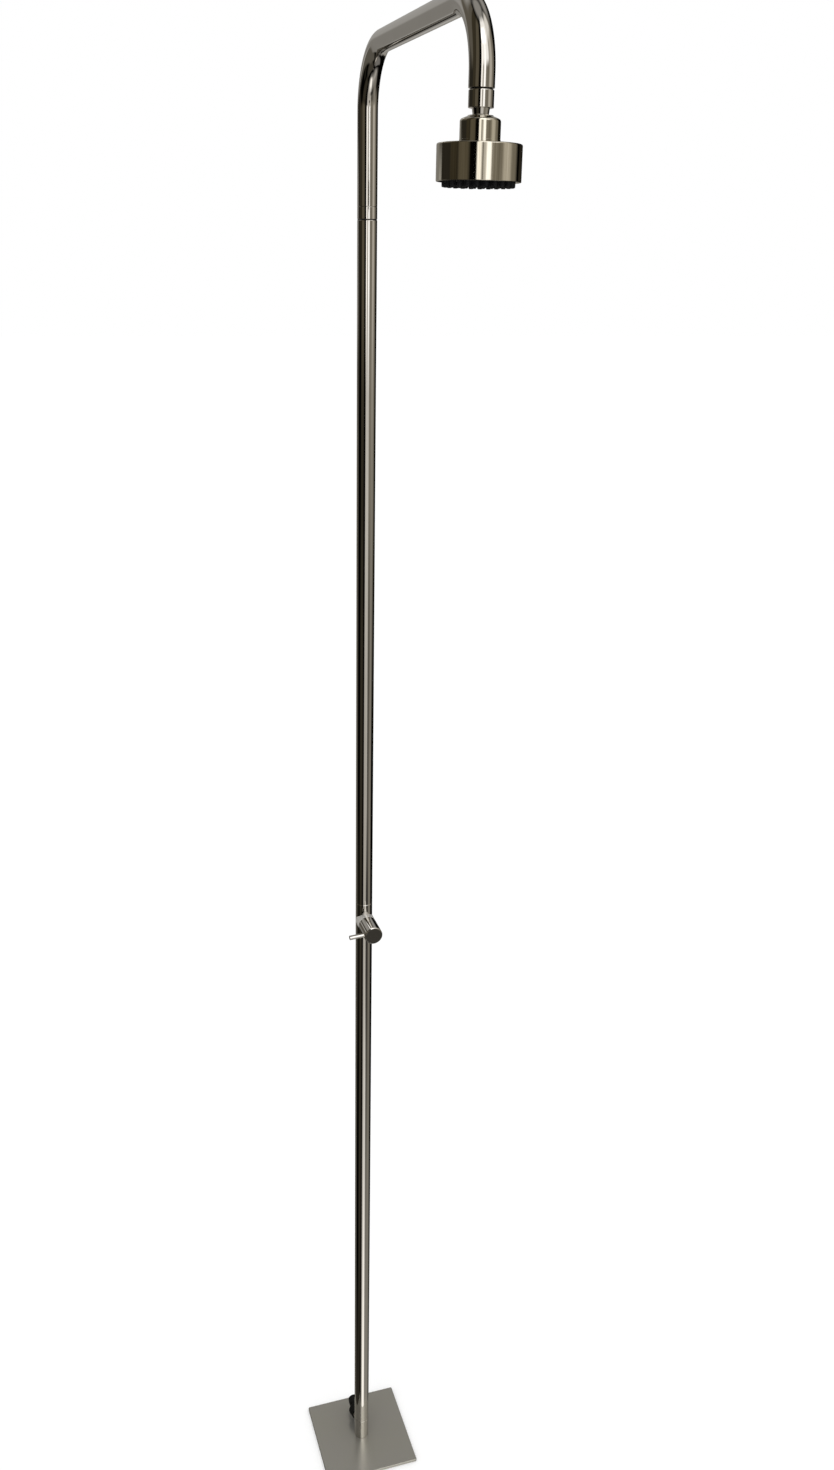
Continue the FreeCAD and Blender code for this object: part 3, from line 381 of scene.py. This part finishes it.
def with_cuts(corners, closed, cuts):
    """The corners, with more stations where a straight run passes a cut."""
    stations = []
    following = corners[1:] + (corners[:1] if closed else [None])
    for here, after in zip(corners, following):
        stations.append(here)
        if after is None:
            continue
        low, high = sorted((here[0].y, after[0].y))
        inner = [cut for cut in cuts if low + CLOSE < cut < high - CLOSE]
        for cut in (inner if after[0].y > here[0].y else reversed(inner)):
            share = (cut - here[0].y) / (after[0].y - here[0].y)
            run = after[0] - here[0]
            stations.append((here[0] + run * share, Vector((run.y, -run.x)).normalized()))
    return stations


def skin(name, outline, path, segments=128, cuts=(), wave=None):
    """A closed solid whose section is the outline turned about the path. A wave changes each point's radius
    by its angle and distance."""
    closed = not (outline[0][0] == 0 and outline[-1][0] == 0)
    stations = with_cuts(with_fillets(outline, closed), closed, cuts)
    verts = []
    rings = []
    for point, _ in stations:
        centre, first, second = path(point.y)
        if point.x < ZERO_LENGTH:
            rings.append([len(verts)] * segments)
            verts.append(centre)
            continue
        rings.append(list(range(len(verts), len(verts) + segments)))
        for step in range(segments):
            angle = 2 * math.pi * step / segments
            radius = point.x if wave is None else wave(point.x, angle, point.y)
            verts.append(centre + (first * math.cos(angle) + second * math.sin(angle)) * radius)
    faces = []
    normals = []
    smooth_limit = 0.6
    last = len(stations) if closed else len(stations) - 1
    for number in range(last):
        following = (number + 1) % len(stations)
        run = stations[following][0] - stations[number][0]
        if run.length < ZERO_LENGTH:
            continue
        own = Vector((run.y, -run.x)).normalized()
        sides = []
        for _, normal in (stations[number], stations[following]):
            rounded = normal is not None and normal.dot(own) > smooth_limit
            sides.append(normal if rounded else own)
        for step in range(segments):
            on = (step + 1) % segments
            loop = [(rings[number][step], 0, step), (rings[number][on], 0, on),
                    (rings[following][on], 1, on), (rings[following][step], 1, step)]
            if rings[number][step] == rings[number][on]:
                loop.pop(1)
            elif rings[following][step] == rings[following][on]:
                loop.pop(2)
            faces.append([corner[0] for corner in loop])
            for _, side, place in loop:
                angle = 2 * math.pi * place / segments
                _, first, second = path(stations[(number, following)[side]][0].y)
                along = first.cross(second)
                out = first * math.cos(angle) + second * math.sin(angle)
                normals.append(out * sides[side].x + along * sides[side].y)
    mesh = bpy.data.meshes.new(name)
    mesh.from_pydata([vert * MM for vert in verts], [], faces)
    mesh.shade_smooth()
    if wave is None:
        mesh.normals_split_custom_set([tuple(normal) for normal in normals])
    else:
        mesh.set_sharp_from_angle(angle=math.radians(40))
    return mesh


def piece(name, mesh, body, slot, *replaced, finish=None):
    """Puts a mesh in the scene as a piece of the object."""
    made = bpy.data.objects.new(name, mesh)
    scene.collection.objects.link(made)
    mesh.materials.clear()
    mesh.materials.append(finish or FINISHES[slot])
    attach(made, body)
    if replaced:
        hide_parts(*replaced)


def arc(radius, start, end, steps):
    """Outline points on an arc round the origin, between two angles in degrees from the axis."""
    angles = [math.radians(start + (end - start) * step / steps) for step in range(steps + 1)]
    return [(radius * math.sin(angle), radius * math.cos(angle)) for angle in angles]


# --- Foot and inlet -----------------------------------------------------------------------------------------
def foot():
    """The turned foot, with the spigot that the post stands on."""
    bore_floor = 14.8
    top = FOOT_JOINT + SPIGOT_LENGTH
    outline = [(0, PLATE_TOP), (TUBE, PLATE_TOP, 0.7), (TUBE, FOOT_JOINT, SEAM), (SPIGOT, FOOT_JOINT),
               (SPIGOT, top, 0.6), (SPIGOT_BORE, top, 0.4), (SPIGOT_BORE, bore_floor), (0, bore_floor)]
    piece("foot", skin("foot", outline, straight_path(POST_AXIS, UP)), "post", "steel_polished", "foot_block")


def thread_wave(start, end, pitch, depth, radius):
    """Lowers a cylinder's surface into a thread between two distances."""
    def wave(here, angle, distance):
        if here < radius - SAME_PLACE or not start < distance < end:
            return here
        phase = (distance / pitch - angle / (2 * math.pi)) % 1.0
        return here - depth * abs(2 * phase - 1)
    return wave


def steps_between(start, end, pitch):
    """The distances that cut a stretch into equal steps, without its ends."""
    count = max(1, round((end - start) / pitch))
    return [start + (end - start) * step / count for step in range(1, count)]


def inlet_stub():
    """The threaded stub at the foot's back."""
    radius = 8.3
    bore = 4.5
    near, far = 9.5, 36.5
    outline = [(bore, near), (radius, near), (radius, far), (bore, far)]
    wave = thread_wave(start=14.5, end=36.2, pitch=1.337, depth=0.75, radius=radius)
    cuts = steps_between(14.0, 36.4, pitch=0.22)
    mesh = skin("inlet_stub", outline, straight_path(INLET_CENTRE, BACK), segments=64, cuts=cuts, wave=wave)
    piece("inlet_stub", mesh, "post", "steel_satin", "inlet_stub")


def hose_connector():
    """Fluted collar, neck, bulb and tip with its o-ring's groove."""
    bore, thread_bore, mouth = 4.0, 8.35, 4.4
    collar_near, collar_far, collar_edge = 11.2, 13.6, 12.4
    neck, bulb, tip, tip_edge, groove = 8.0, 9.3, 8.5, 6.5, 7.6
    near, widest, thread_end = 25.0, 37.3, 38.5
    neck_near, neck_far = 41.7, 44.7
    bulb_near, bulb_far = 47.1, 54.5
    tip_near, tip_far, tip_end = 55.3, 60.4, 62.0
    groove_near, groove_far = 57.5, 59.2
    mouth_floor = 60.5
    flutes_near, flutes_far = 26.4, 37.2
    near_run, far_run = 2.0, 0.8
    flute_depth, flute_floor = 0.75, 8.8

    def wave(radius, angle, distance):
        if radius < flute_floor or not flutes_near < distance < flutes_far:
            return radius
        rise = min(1.0, (distance - flutes_near) / near_run, (flutes_far - distance) / far_run)
        hollow = max(0.0, math.cos(angle * FLUTES)) ** 2
        return radius - flute_depth * rise * hollow

    outline = [(thread_bore, near),
               (collar_near, near, 0.5), (collar_far, widest, 0.9), (collar_edge, thread_end, 0.9),
               (neck, neck_near, 1.2), (neck, neck_far, 1.2),
               (bulb, bulb_near, 1.0), (bulb, bulb_far, 0.6),
               (tip, tip_near, 0.4), (tip, groove_near), (groove, groove_near),
               (groove, groove_far), (tip, groove_far), (tip, tip_far, 0.7),
               (tip_edge, tip_end, 1.0), (mouth, tip_end, 0.4),
               (bore, mouth_floor), (bore, thread_end), (thread_bore, thread_end)]
    cuts = steps_between(25.6, 38.0, pitch=0.6)
    mesh = skin("hose_connector", outline, straight_path(INLET_CENTRE, BACK), segments=192, cuts=cuts,
                wave=wave)
    piece("hose_connector", mesh, "post", "black_plastic", "hose_connector")


# --- Post and arm -------------------------------------------------------------------------------------------
def straight_tube(name, bottom, top, chamfer):
    """A length of the post, chamfered at its top."""
    chamfer_depth = 0.7 * chamfer
    outline = [(POST_BORE, bottom), (TUBE, bottom, SEAM), (TUBE, top - chamfer, 0.1),
               (TUBE - chamfer_depth, top), (POST_BORE, top)]
    piece(name, skin(name, outline, straight_path(POST_AXIS, UP)), "post", "steel_polished", name)


def ferrule():
    """The ring between post and arm, with a spigot into each."""
    arm_spigot = 11.45
    bevel = 1.0
    bottom = TOP_JOINT - SPIGOT_LENGTH
    top = ARM_START + SPIGOT_LENGTH
    outline = [(SPIGOT_BORE, bottom), (SPIGOT, bottom, 0.6), (SPIGOT, TOP_JOINT), (ARM_BORE, TOP_JOINT),
               (TUBE, TOP_JOINT + bevel, 0.2), (TUBE, ARM_START, SOFT_EDGE), (arm_spigot, ARM_START),
               (arm_spigot, top, 0.6), (SPIGOT_BORE, top)]
    piece("joint_ferrule", skin("joint_ferrule", outline, straight_path(POST_AXIS, UP)), "post",
          "steel_polished", "joint_ferrule")


def joint_line():
    """A black ring down in the groove between post and ferrule: painted shade, a dark line where the groove's
    shade falls.
    """
    inner, outer = 11.6, 12.15
    low, high = TOP_JOINT - 0.3, TOP_JOINT + 0.5
    outline = [(inner, low), (outer, low), (outer, high), (inner, high)]
    piece("joint_line", skin("joint_line", outline, straight_path(POST_AXIS, UP)), "post", "rubber")


# The arm's stretches: up, a quarter turn, across, a quarter turn and down to the outlet.
RISE = BEND_HEIGHT - ARM_START
QUARTER = BEND * math.pi / 2
SPAN = REACH - 2 * BEND
ARM_LENGTH = RISE + QUARTER + SPAN + QUARTER + BEND_HEIGHT - OUTLET


def arm_path(distance):
    """The gooseneck's centre line at a distance along it."""
    side = Vector((1, 0, 0))
    if distance < RISE:
        return Vector((0, 0, ARM_START + distance)), side, Vector((0, 1, 0))
    distance -= RISE
    if distance < QUARTER:
        angle = distance / BEND
        place = Vector((0, -BEND + BEND * math.cos(angle), BEND_HEIGHT + BEND * math.sin(angle)))
        return place, side, Vector((0, math.cos(angle), math.sin(angle)))
    distance -= QUARTER
    if distance < SPAN:
        return Vector((0, -BEND - distance, BEND_HEIGHT + BEND)), side, Vector((0, 0, 1))
    distance -= SPAN
    if distance < QUARTER:
        angle = math.pi / 2 + distance / BEND
        place = Vector((0, -REACH + BEND + BEND * math.cos(angle), BEND_HEIGHT + BEND * math.sin(angle)))
        return place, side, Vector((0, math.cos(angle), math.sin(angle)))
    distance -= QUARTER
    return Vector((0, -REACH, BEND_HEIGHT - distance)), side, Vector((0, -1, 0))


def arm():
    """The gooseneck tube, cut into short steps where it bends."""
    outline = [(ARM_BORE, 0.0), (TUBE, 0.0, SOFT_EDGE), (TUBE, ARM_LENGTH, SEAM), (ARM_BORE, ARM_LENGTH)]
    bend_steps = 40
    cuts = [bend + QUARTER * step / bend_steps for bend in (RISE, RISE + QUARTER + SPAN)
            for step in range(bend_steps + 1)]
    mesh = skin("arm_tube", outline, arm_path, segments=96, cuts=cuts)
    piece("arm_tube", mesh, "post", "steel_polished", "arm_tube")


# --- Valve --------------------------------------------------------------------------------------------------
def valve_boss():
    """The welded boss. Its back is cut to the tube, and sits a little deep in it."""
    back, thread_start = 3.0, 15.5
    port_bore, thread_bore = 9.2, 8.05
    sunk = 0.4
    outline = [(port_bore, back), (KNOB, back), (KNOB, BOSS_FACE, 0.4), (thread_bore, BOSS_FACE),
               (thread_bore, thread_start), (port_bore, thread_start)]
    mesh = skin("valve_boss", outline, straight_path(VALVE_CENTRE, FRONT))
    for vert in mesh.vertices:
        depth = -vert.co.y / MM
        across = vert.co.x / MM
        if abs(depth - back) < SAME_PLACE and abs(across) < TUBE:
            vert.co.y = -max(back, math.sqrt(TUBE ** 2 - across ** 2) - sunk) * MM
    mesh.update()
    # The boss gets the paler steel, which is painted sheen for its lighter reflection.
    piece("valve_boss", mesh, "post", "steel_satin", "valve_boss", finish=PALE_SHEEN)


def knob():
    """The round knob, hollow over the headwork, with a hole for the spindle."""
    spindle_hole, hollow = 4.02, 10.8
    hole_end, hollow_end = 44.0, 32.3
    back = 21.0
    chamfer = 1.1
    outline = [(0, hole_end), (spindle_hole, hole_end), (spindle_hole, hollow_end), (hollow, hollow_end),
               (hollow, back), (KNOB, back, SEAM), (KNOB, KNOB_FACE - chamfer, 0.25),
               (KNOB - chamfer, KNOB_FACE, 0.25), (0, KNOB_FACE)]
    piece("valve_knob", skin("valve_knob", outline, straight_path(VALVE_CENTRE, FRONT)), "lever",
          "steel_polished", "valve_knob")


def lever():
    """The pin that turns the knob, dipping a little."""
    radius = 3.3
    root, tip = 5.5, 35.0
    out_from_post = 47.5
    direction = Vector((-math.cos(LEVER_DIP), 0, -math.sin(LEVER_DIP)))
    place = VALVE_CENTRE + FRONT * out_from_post
    outline = [(0, root), (radius, root), (radius, tip, 0.7), (0, tip)]
    piece("lever_pin", skin("lever_pin", outline, straight_path(place, direction), segments=48), "lever",
          "steel_polished", "lever_pin")


# --- Head: distances are measured from the ball's centre ----------------------------------------------------
def ball_fitting():
    """Nut, neck and ball in one piece, bored through."""
    nut, neck, ball = 12.15, 8.6, 11.5
    nut_bore, seat_bore, bore = 9.55, 5.05, 2.8
    nut_top, nut_bottom, seat = 30.9, 15.2, 20.4
    seat_floor = seat - 4
    neck_angle, end_angle = 41.4, 155.4
    ball_end = -10.46
    outline = [(nut_bore, nut_top), (nut, nut_top, 1.2), (nut, nut_bottom, 0.45), (neck, nut_bottom, 0.25)]
    outline += arc(ball, neck_angle, end_angle, steps=40)
    outline += [(bore, ball_end), (bore, seat_floor), (seat_bore, seat_floor), (seat_bore, seat),
                (nut_bore, seat)]
    piece("ball_fitting", skin("ball_fitting", outline, straight_path(BALL_CENTRE, UP), segments=96), "post",
          "steel_polished", "ball_fitting")


def hub():
    """The domed hub over the ball, with its mouth round the neck."""
    radius, foot_radius, bore, dome = 19.5, 19.7, 15.55, 15.0
    dome_angle, mouth_angle, room_angle = 56.6, 53.6, 103.5
    shoulder = 5.5
    bore_top = -3.2
    bottom = DRUM_TOP - BALL
    foot_top = bottom + 3.4
    outline = [(bore, bottom), (foot_radius, bottom, 0.15), (foot_radius, foot_top, 0.12), (radius, foot_top),
               (radius, shoulder, 3.0)]
    outline += arc(dome, dome_angle, mouth_angle, steps=4)
    outline += arc(BALL_ROOM, mouth_angle, room_angle, steps=20)
    outline += [(bore, bore_top)]
    piece("hub", skin("hub", outline, straight_path(BALL_CENTRE, UP)), "head", "steel_polished", "hub_nut",
          finish=TURNED)


def drum():
    """The thin cup with the nozzles, and the collar that holds the ball's lower seat."""
    collar, collar_top, outlet = 15.5, -3.22, 8.0
    outlet_angle, room_angle = 144.3, 103.6
    wall = 1.5
    top = DRUM_TOP - BALL
    ceiling = top - wall
    bottom = DRUM_BOTTOM - BALL
    outline = [(collar, collar_top), (collar, top), (DRUM, top, 1.5), (DRUM, bottom, 0.9),
               (DRUM_BORE, bottom, 0.15), (DRUM_BORE, ceiling, 0.8), (outlet, ceiling)]
    outline += arc(BALL_ROOM, outlet_angle, room_angle, steps=18)
    piece("drum", skin("drum", outline, straight_path(BALL_CENTRE, UP), segments=192), "head",
          "steel_polished", "head_shell", finish=TURNED)


def nozzle_points():
    """The places of the nozzles, ring by ring, under the drum's centre."""
    margin, pitch = 8.0, 8.25
    points = []
    for ring, (count, turn) in enumerate(NOZZLE_RINGS):
        radius = DRUM - margin - ring * pitch
        for step in range(count):
            angle = math.radians(turn + 360.0 * step / count)
            points.append(Vector((radius * math.cos(angle), radius * math.sin(angle) - REACH, NOZZLE_ROOT)))
    return points


def nozzle_shape():
    """One soft nozzle, root at the origin, pointing down."""
    root, foot_edge, stem, tip, tip_edge = 2.75, 2.7, 2.5, 2.35, 1.95
    foot_end, stem_start, tip_start, length = 3.6, 4.4, 8.0, 8.6
    mouth, bore, bore_end = 0.9, 0.6, 6.3
    outline = [(0, 0.0), (root, 0.0), (foot_edge, foot_end), (stem, stem_start, 0.4), (tip, tip_start, 0.4),
               (tip_edge, length, 0.3), (mouth, length), (bore, tip_start), (bore, bore_end), (0, bore_end)]
    return skin("nozzle", outline, straight_path((0, 0, 0), DOWN), segments=20)


def repeated(name, points, shape, finish):
    """Geometry Nodes: one copy of a shape at each point, joined into one plain mesh."""
    cloud = bpy.data.meshes.new(name + "_points")
    cloud.from_pydata([point * MM for point in points], [], [])
    holder = bpy.data.objects.new(name + "_points", cloud)
    scene.collection.objects.link(holder)
    pattern = bpy.data.objects.new(name + "_shape", shape)
    scene.collection.objects.link(pattern)
    tree = bpy.data.node_groups.new(name + "_tree", "GeometryNodeTree")
    tree.interface.new_socket("Points", in_out="INPUT", socket_type="NodeSocketGeometry")
    shape_input = tree.interface.new_socket("Shape", in_out="INPUT", socket_type="NodeSocketObject")
    tree.interface.new_socket("Result", in_out="OUTPUT", socket_type="NodeSocketGeometry")
    start = tree.nodes.new("NodeGroupInput")
    end = tree.nodes.new("NodeGroupOutput")
    info = tree.nodes.new("GeometryNodeObjectInfo")
    copies = tree.nodes.new("GeometryNodeInstanceOnPoints")
    real = tree.nodes.new("GeometryNodeRealizeInstances")
    paint = tree.nodes.new("GeometryNodeSetMaterial")
    paint.inputs["Material"].default_value = finish
    tree.links.new(start.outputs["Shape"], info.inputs["Object"])
    tree.links.new(start.outputs["Points"], copies.inputs["Points"])
    tree.links.new(info.outputs["Geometry"], copies.inputs["Instance"])
    tree.links.new(copies.outputs["Instances"], real.inputs["Geometry"])
    tree.links.new(real.outputs["Geometry"], paint.inputs["Geometry"])
    tree.links.new(paint.outputs["Geometry"], end.inputs["Result"])
    modifier = holder.modifiers.new(name, "NODES")
    modifier.node_group = tree
    modifier[shape_input.identifier] = pattern
    evaluated = holder.evaluated_get(bpy.context.evaluated_depsgraph_get())
    mesh = bpy.data.meshes.new_from_object(evaluated)
    mesh.name = name
    bpy.data.objects.remove(holder)
    bpy.data.objects.remove(pattern)
    return mesh


def nozzles():
    """The nozzles, and the sheet that they stand on."""
    mesh = repeated("nozzles", nozzle_points(), nozzle_shape(), FINISHES["rubber"])
    piece("nozzles", mesh, "head", "rubber")
    radius, bottom = 39.6, 2077.55
    outline = [(0, bottom), (radius, bottom), (radius, NOZZLE_ROOT), (0, NOZZLE_ROOT)]
    piece("nozzle_sheet", skin("nozzle_sheet", outline, straight_path(HEAD_AXIS, UP)), "head", "rubber",
          "nozzle_mat")


foot()
inlet_stub()
hose_connector()
straight_tube("lower_tube", FOOT_JOINT, VALVE_JOINT, 0.8)
straight_tube("mid_tube", VALVE_JOINT, TOP_JOINT, 1.0)
ferrule()
# A painted-shade ring in the groove at the top joint.
joint_line()
arm()
valve_boss()
knob()
lever()
ball_fitting()
hub()
drum()
nozzles()


# --- Studio -------------------------------------------------------------------------------------------------
CAMERA_PLACE = Vector((-0.4534, -1.6470, 2.0140))
CAMERA_YAW, CAMERA_PITCH, CAMERA_ROLL = 17.91, 20.87, -1.17
CAMERA_LENS = 31.143
LAMP_PLACE = (-2.0, -2.4, 3.2)
LAMP_AIM = (0, -0.2, 1.2)


def camera():
    """The photograph's view: left of the post, at head height, looking down a little."""
    yaw, pitch, roll = (math.radians(angle) for angle in (CAMERA_YAW, CAMERA_PITCH, CAMERA_ROLL))
    ahead = Vector((math.sin(yaw) * math.cos(pitch), math.cos(yaw) * math.cos(pitch), -math.sin(pitch)))
    right = Vector((math.cos(yaw), -math.sin(yaw), 0))
    down = ahead.cross(right)
    turned_right = math.cos(roll) * right + math.sin(roll) * down
    turned_down = math.cos(roll) * down - math.sin(roll) * right
    data = bpy.data.cameras.new("camera")
    data.sensor_width = 36.0
    data.lens = CAMERA_LENS
    data.clip_start = 0.01
    data.clip_end = 100.0
    made = bpy.data.objects.new("camera", data)
    columns = (turned_right, -turned_down, -ahead, CAMERA_PLACE)
    made.matrix_world = Matrix([[column[row] for column in columns] for row in range(3)] + [[0, 0, 0, 1]])
    scene.collection.objects.link(made)
    scene.camera = made


def white_world():
    """A plain white background, which also gives the soft light."""
    world = bpy.data.worlds.new("white_world")
    scene.world = world
    finish = Finish("white_world", world)
    background = finish.node("ShaderNodeBackground", {}, {"Color": rgb(1.0, 1.0, 1.0), "Strength": 1.0})
    finish.node("ShaderNodeOutputWorld", {}, {"Surface": background.outputs[0]})


def floor():
    """A pale floor that is lifted to white where it is looked at, and keeps the object's shadow."""
    bpy.ops.mesh.primitive_plane_add(size=60.0)
    plane = bpy.context.object
    plane.name = "floor"
    finish = Finish("floor_paint")
    paint = finish.node("ShaderNodeBsdfDiffuse", {}, {"Color": rgb(0.86, 0.86, 0.858)})
    light = finish.node("ShaderNodeLightPath")
    seen = [Value(finish, light.outputs["Is " + ray + " Ray"])
            for ray in ("Camera", "Glossy", "Transmission")]
    lift = finish.node("ShaderNodeEmission", {}, {"Strength": (seen[0] + seen[1] + seen[2]) * 0.15})
    both = finish.node("ShaderNodeAddShader", {}, {0: paint.outputs[0], 1: lift.outputs[0]})
    finish.node("ShaderNodeOutputMaterial", {}, {"Surface": both.outputs[0]})
    plane.data.materials.append(finish.owner)
    plane.visible_glossy = False


def cloth(tone, warmth):
    """A cloth's colour from its tone as the steel shows it: 0 is black, 255 white, and a lit cloth is more.
    Warmth takes out blue and a little green."""
    display_gamma, steel = 2.2, 0.62
    level = (tone / 255.0) ** display_gamma / steel
    return rgb(level, level * (1.0 - 0.35 * warmth), level * (1.0 - warmth))


BARE_WALL = (9, 0.4)                       # tone and warmth

# Cloths and flags round the studio, painted in this order. Each has its middle and width in degrees, counted
# from the front toward +X, its lowest and highest elevation, the softness of its edges, its tone and warmth.
PANELS = (
    (0, 400, 72, 99, 10, 128, 0.1),        # ceiling
    (55, 84, -16, 60, 12, 112, 0.28),      # right wall
    (48, 56, -34, -16, 14, 88, 0.25),
    (54, 74, -48, -34, 16, 92, 0.22),
    (40, 130, -70, -48, 24, 160, 0.12),
    (60, 26, -6, 60, 9, 164, 0.2),         # paler part of it
    (60, 28, -34, -6, 12, 120, 0.22),
    (66, 32, -48, -34, 14, 118, 0.2),
    (57, 60, 42, 66, 10, 205, 0.1),
    (115, 46, -48, -4, 24, 9, 0.4),        # dark corner beside it
    (126, 26, -1, 5.5, 3, 42, 0.35),
    (150, 50, -75, -42, 6, 105, 0.1),      # ground behind the object
    (-105, 80, -99, -50, 12, 62, 0.3),
    (-110, 36, -34, -26, 4, 36, 0.4),
    (-62, 30, -6, 62, 9, 80, 0.42),        # left wall
    (-62, 32, -48, -6, 12, 50, 0.4),
    (-102, 44, 1, 62, 7, 54, 0.5),
    (-132, 60, -3, 11, 6, 42, 0.35),
    (-135, 56, 11, 62, 6, 84, 0.3),
    (-142, 40, -60, -3, 8, 82, 0.25),
    (-147, 17, -3, 4.6, 2, 146, 0.1),      # strip light at the left
    (-157, 16, 12, 29, 4, 120, 0.15),
    (-3, 38, -66, 62, 6, 180, 0.12),       # window behind the camera
    (-6, 34, -34, -16, 10, 158, 0.14),
    (4, 24, -60, -36, 14, 214, 0.06),
    (4, 30, -66, -44, 8, 250, 0.08),
    (9, 62, 17, 72, 10, 236, 0.05),
    (0, 44, 42, 58, 8, 320, 0.03),
    (-20, 11, -3, 40, 4, 252, 0.08),
    (6, 14, -3, 40, 5, 262, 0.02),
    (-10, 4, -3, 15, 3, 112, 0.2),         # its bars
    (15, 4, 2, 14, 4, 124, 0.25),
    (-40, 7, -16, 5.5, 4, 14, 0.5),        # dark flag beside it
    (34, 9, 2, 16, 8, 98, 0.3),
    (25, 32, -34, -26, 4, 56, 0.2),        # low dark flag
    (165, 130, 38, 62, 16, 132, 0.1),      # back wall
    (-179, 50, -30, 38, 5, 114, 0.12),
    (180, 60, 11, 26, 5, 136, 0.08),
    (157, 14, -18, -3, 4, 128, 0.15),
    (-171, 8, 27, 37, 3, 290, 0.02),       # rails across it
    (176, 9, 25, 37, 3, 40, 0.1),
    (173, 5, -21, -12, 3, 16, 0.2),
    (-179, 6, -24, -15, 4, 142, 0.08),
    (164, 5, -14, -8, 3, 150, 0.08),
)


def surround():
    """A round wall of pale cloths and dark flags that only the metal sees."""
    bpy.ops.mesh.primitive_uv_sphere_add(segments=96, ring_count=48, radius=50.0, location=(0, 0, 1.2))
    dome = bpy.context.object
    dome.name = "surround"
    finish = Finish("surround_cloth")
    place = finish.node("ShaderNodeTexCoord").outputs["Object"]
    unit = finish.node("ShaderNodeVectorMath", {"operation": "NORMALIZE"}, {0: place}).outputs[0]
    x, y, z = finish.axes(unit)
    to_degrees = 180.0 / math.pi
    around = finish.value("ShaderNodeMath", {"operation": "ARCTAN2"}, {0: x, 1: 0.0 - y}) * to_degrees
    height = finish.value("ShaderNodeMath", {"operation": "ARCSINE"}, {0: z}) * to_degrees
    color = cloth(*BARE_WALL)
    for middle, width, low, high, edge, tone, warmth in PANELS:
        away = finish.value("ShaderNodeMath", {"operation": "PINGPONG"}, {0: around - middle, 1: 180.0})
        across = ((width / 2 - away) / edge + 0.5).clamped(0.0, 1.0)
        over_low = ((height - low) / edge + 0.5).clamped(0.0, 1.0)
        under_high = ((high - height) / edge + 0.5).clamped(0.0, 1.0)
        color = finish.mixed(across * (over_low * under_high), color, cloth(tone, warmth))
    glow = finish.node("ShaderNodeEmission", {}, {"Color": color, "Strength": 1.0})
    finish.node("ShaderNodeOutputMaterial", {}, {"Surface": glow.outputs[0]})
    dome.data.materials.append(finish.owner)
    dome.visible_camera = False
    dome.visible_diffuse = False
    dome.visible_transmission = False
    dome.visible_volume_scatter = False
    dome.visible_shadow = False


def soft_box(side, watts):
    """A square lamp at the upper left, for the shadow on the floor."""
    data = bpy.data.lights.new("soft_box", "AREA")
    data.shape = "SQUARE"
    data.size = side
    data.energy = watts
    made = bpy.data.objects.new("soft_box", data)
    made.location = LAMP_PLACE
    made.rotation_euler = (Vector(LAMP_AIM) - Vector(LAMP_PLACE)).to_track_quat("-Z", "Y").to_euler()
    made.visible_glossy = False
    scene.collection.objects.link(made)


scene.view_settings.view_transform = "Standard"
camera()
white_world()
floor()
surround()
soft_box(side=1.6, watts=12.0)
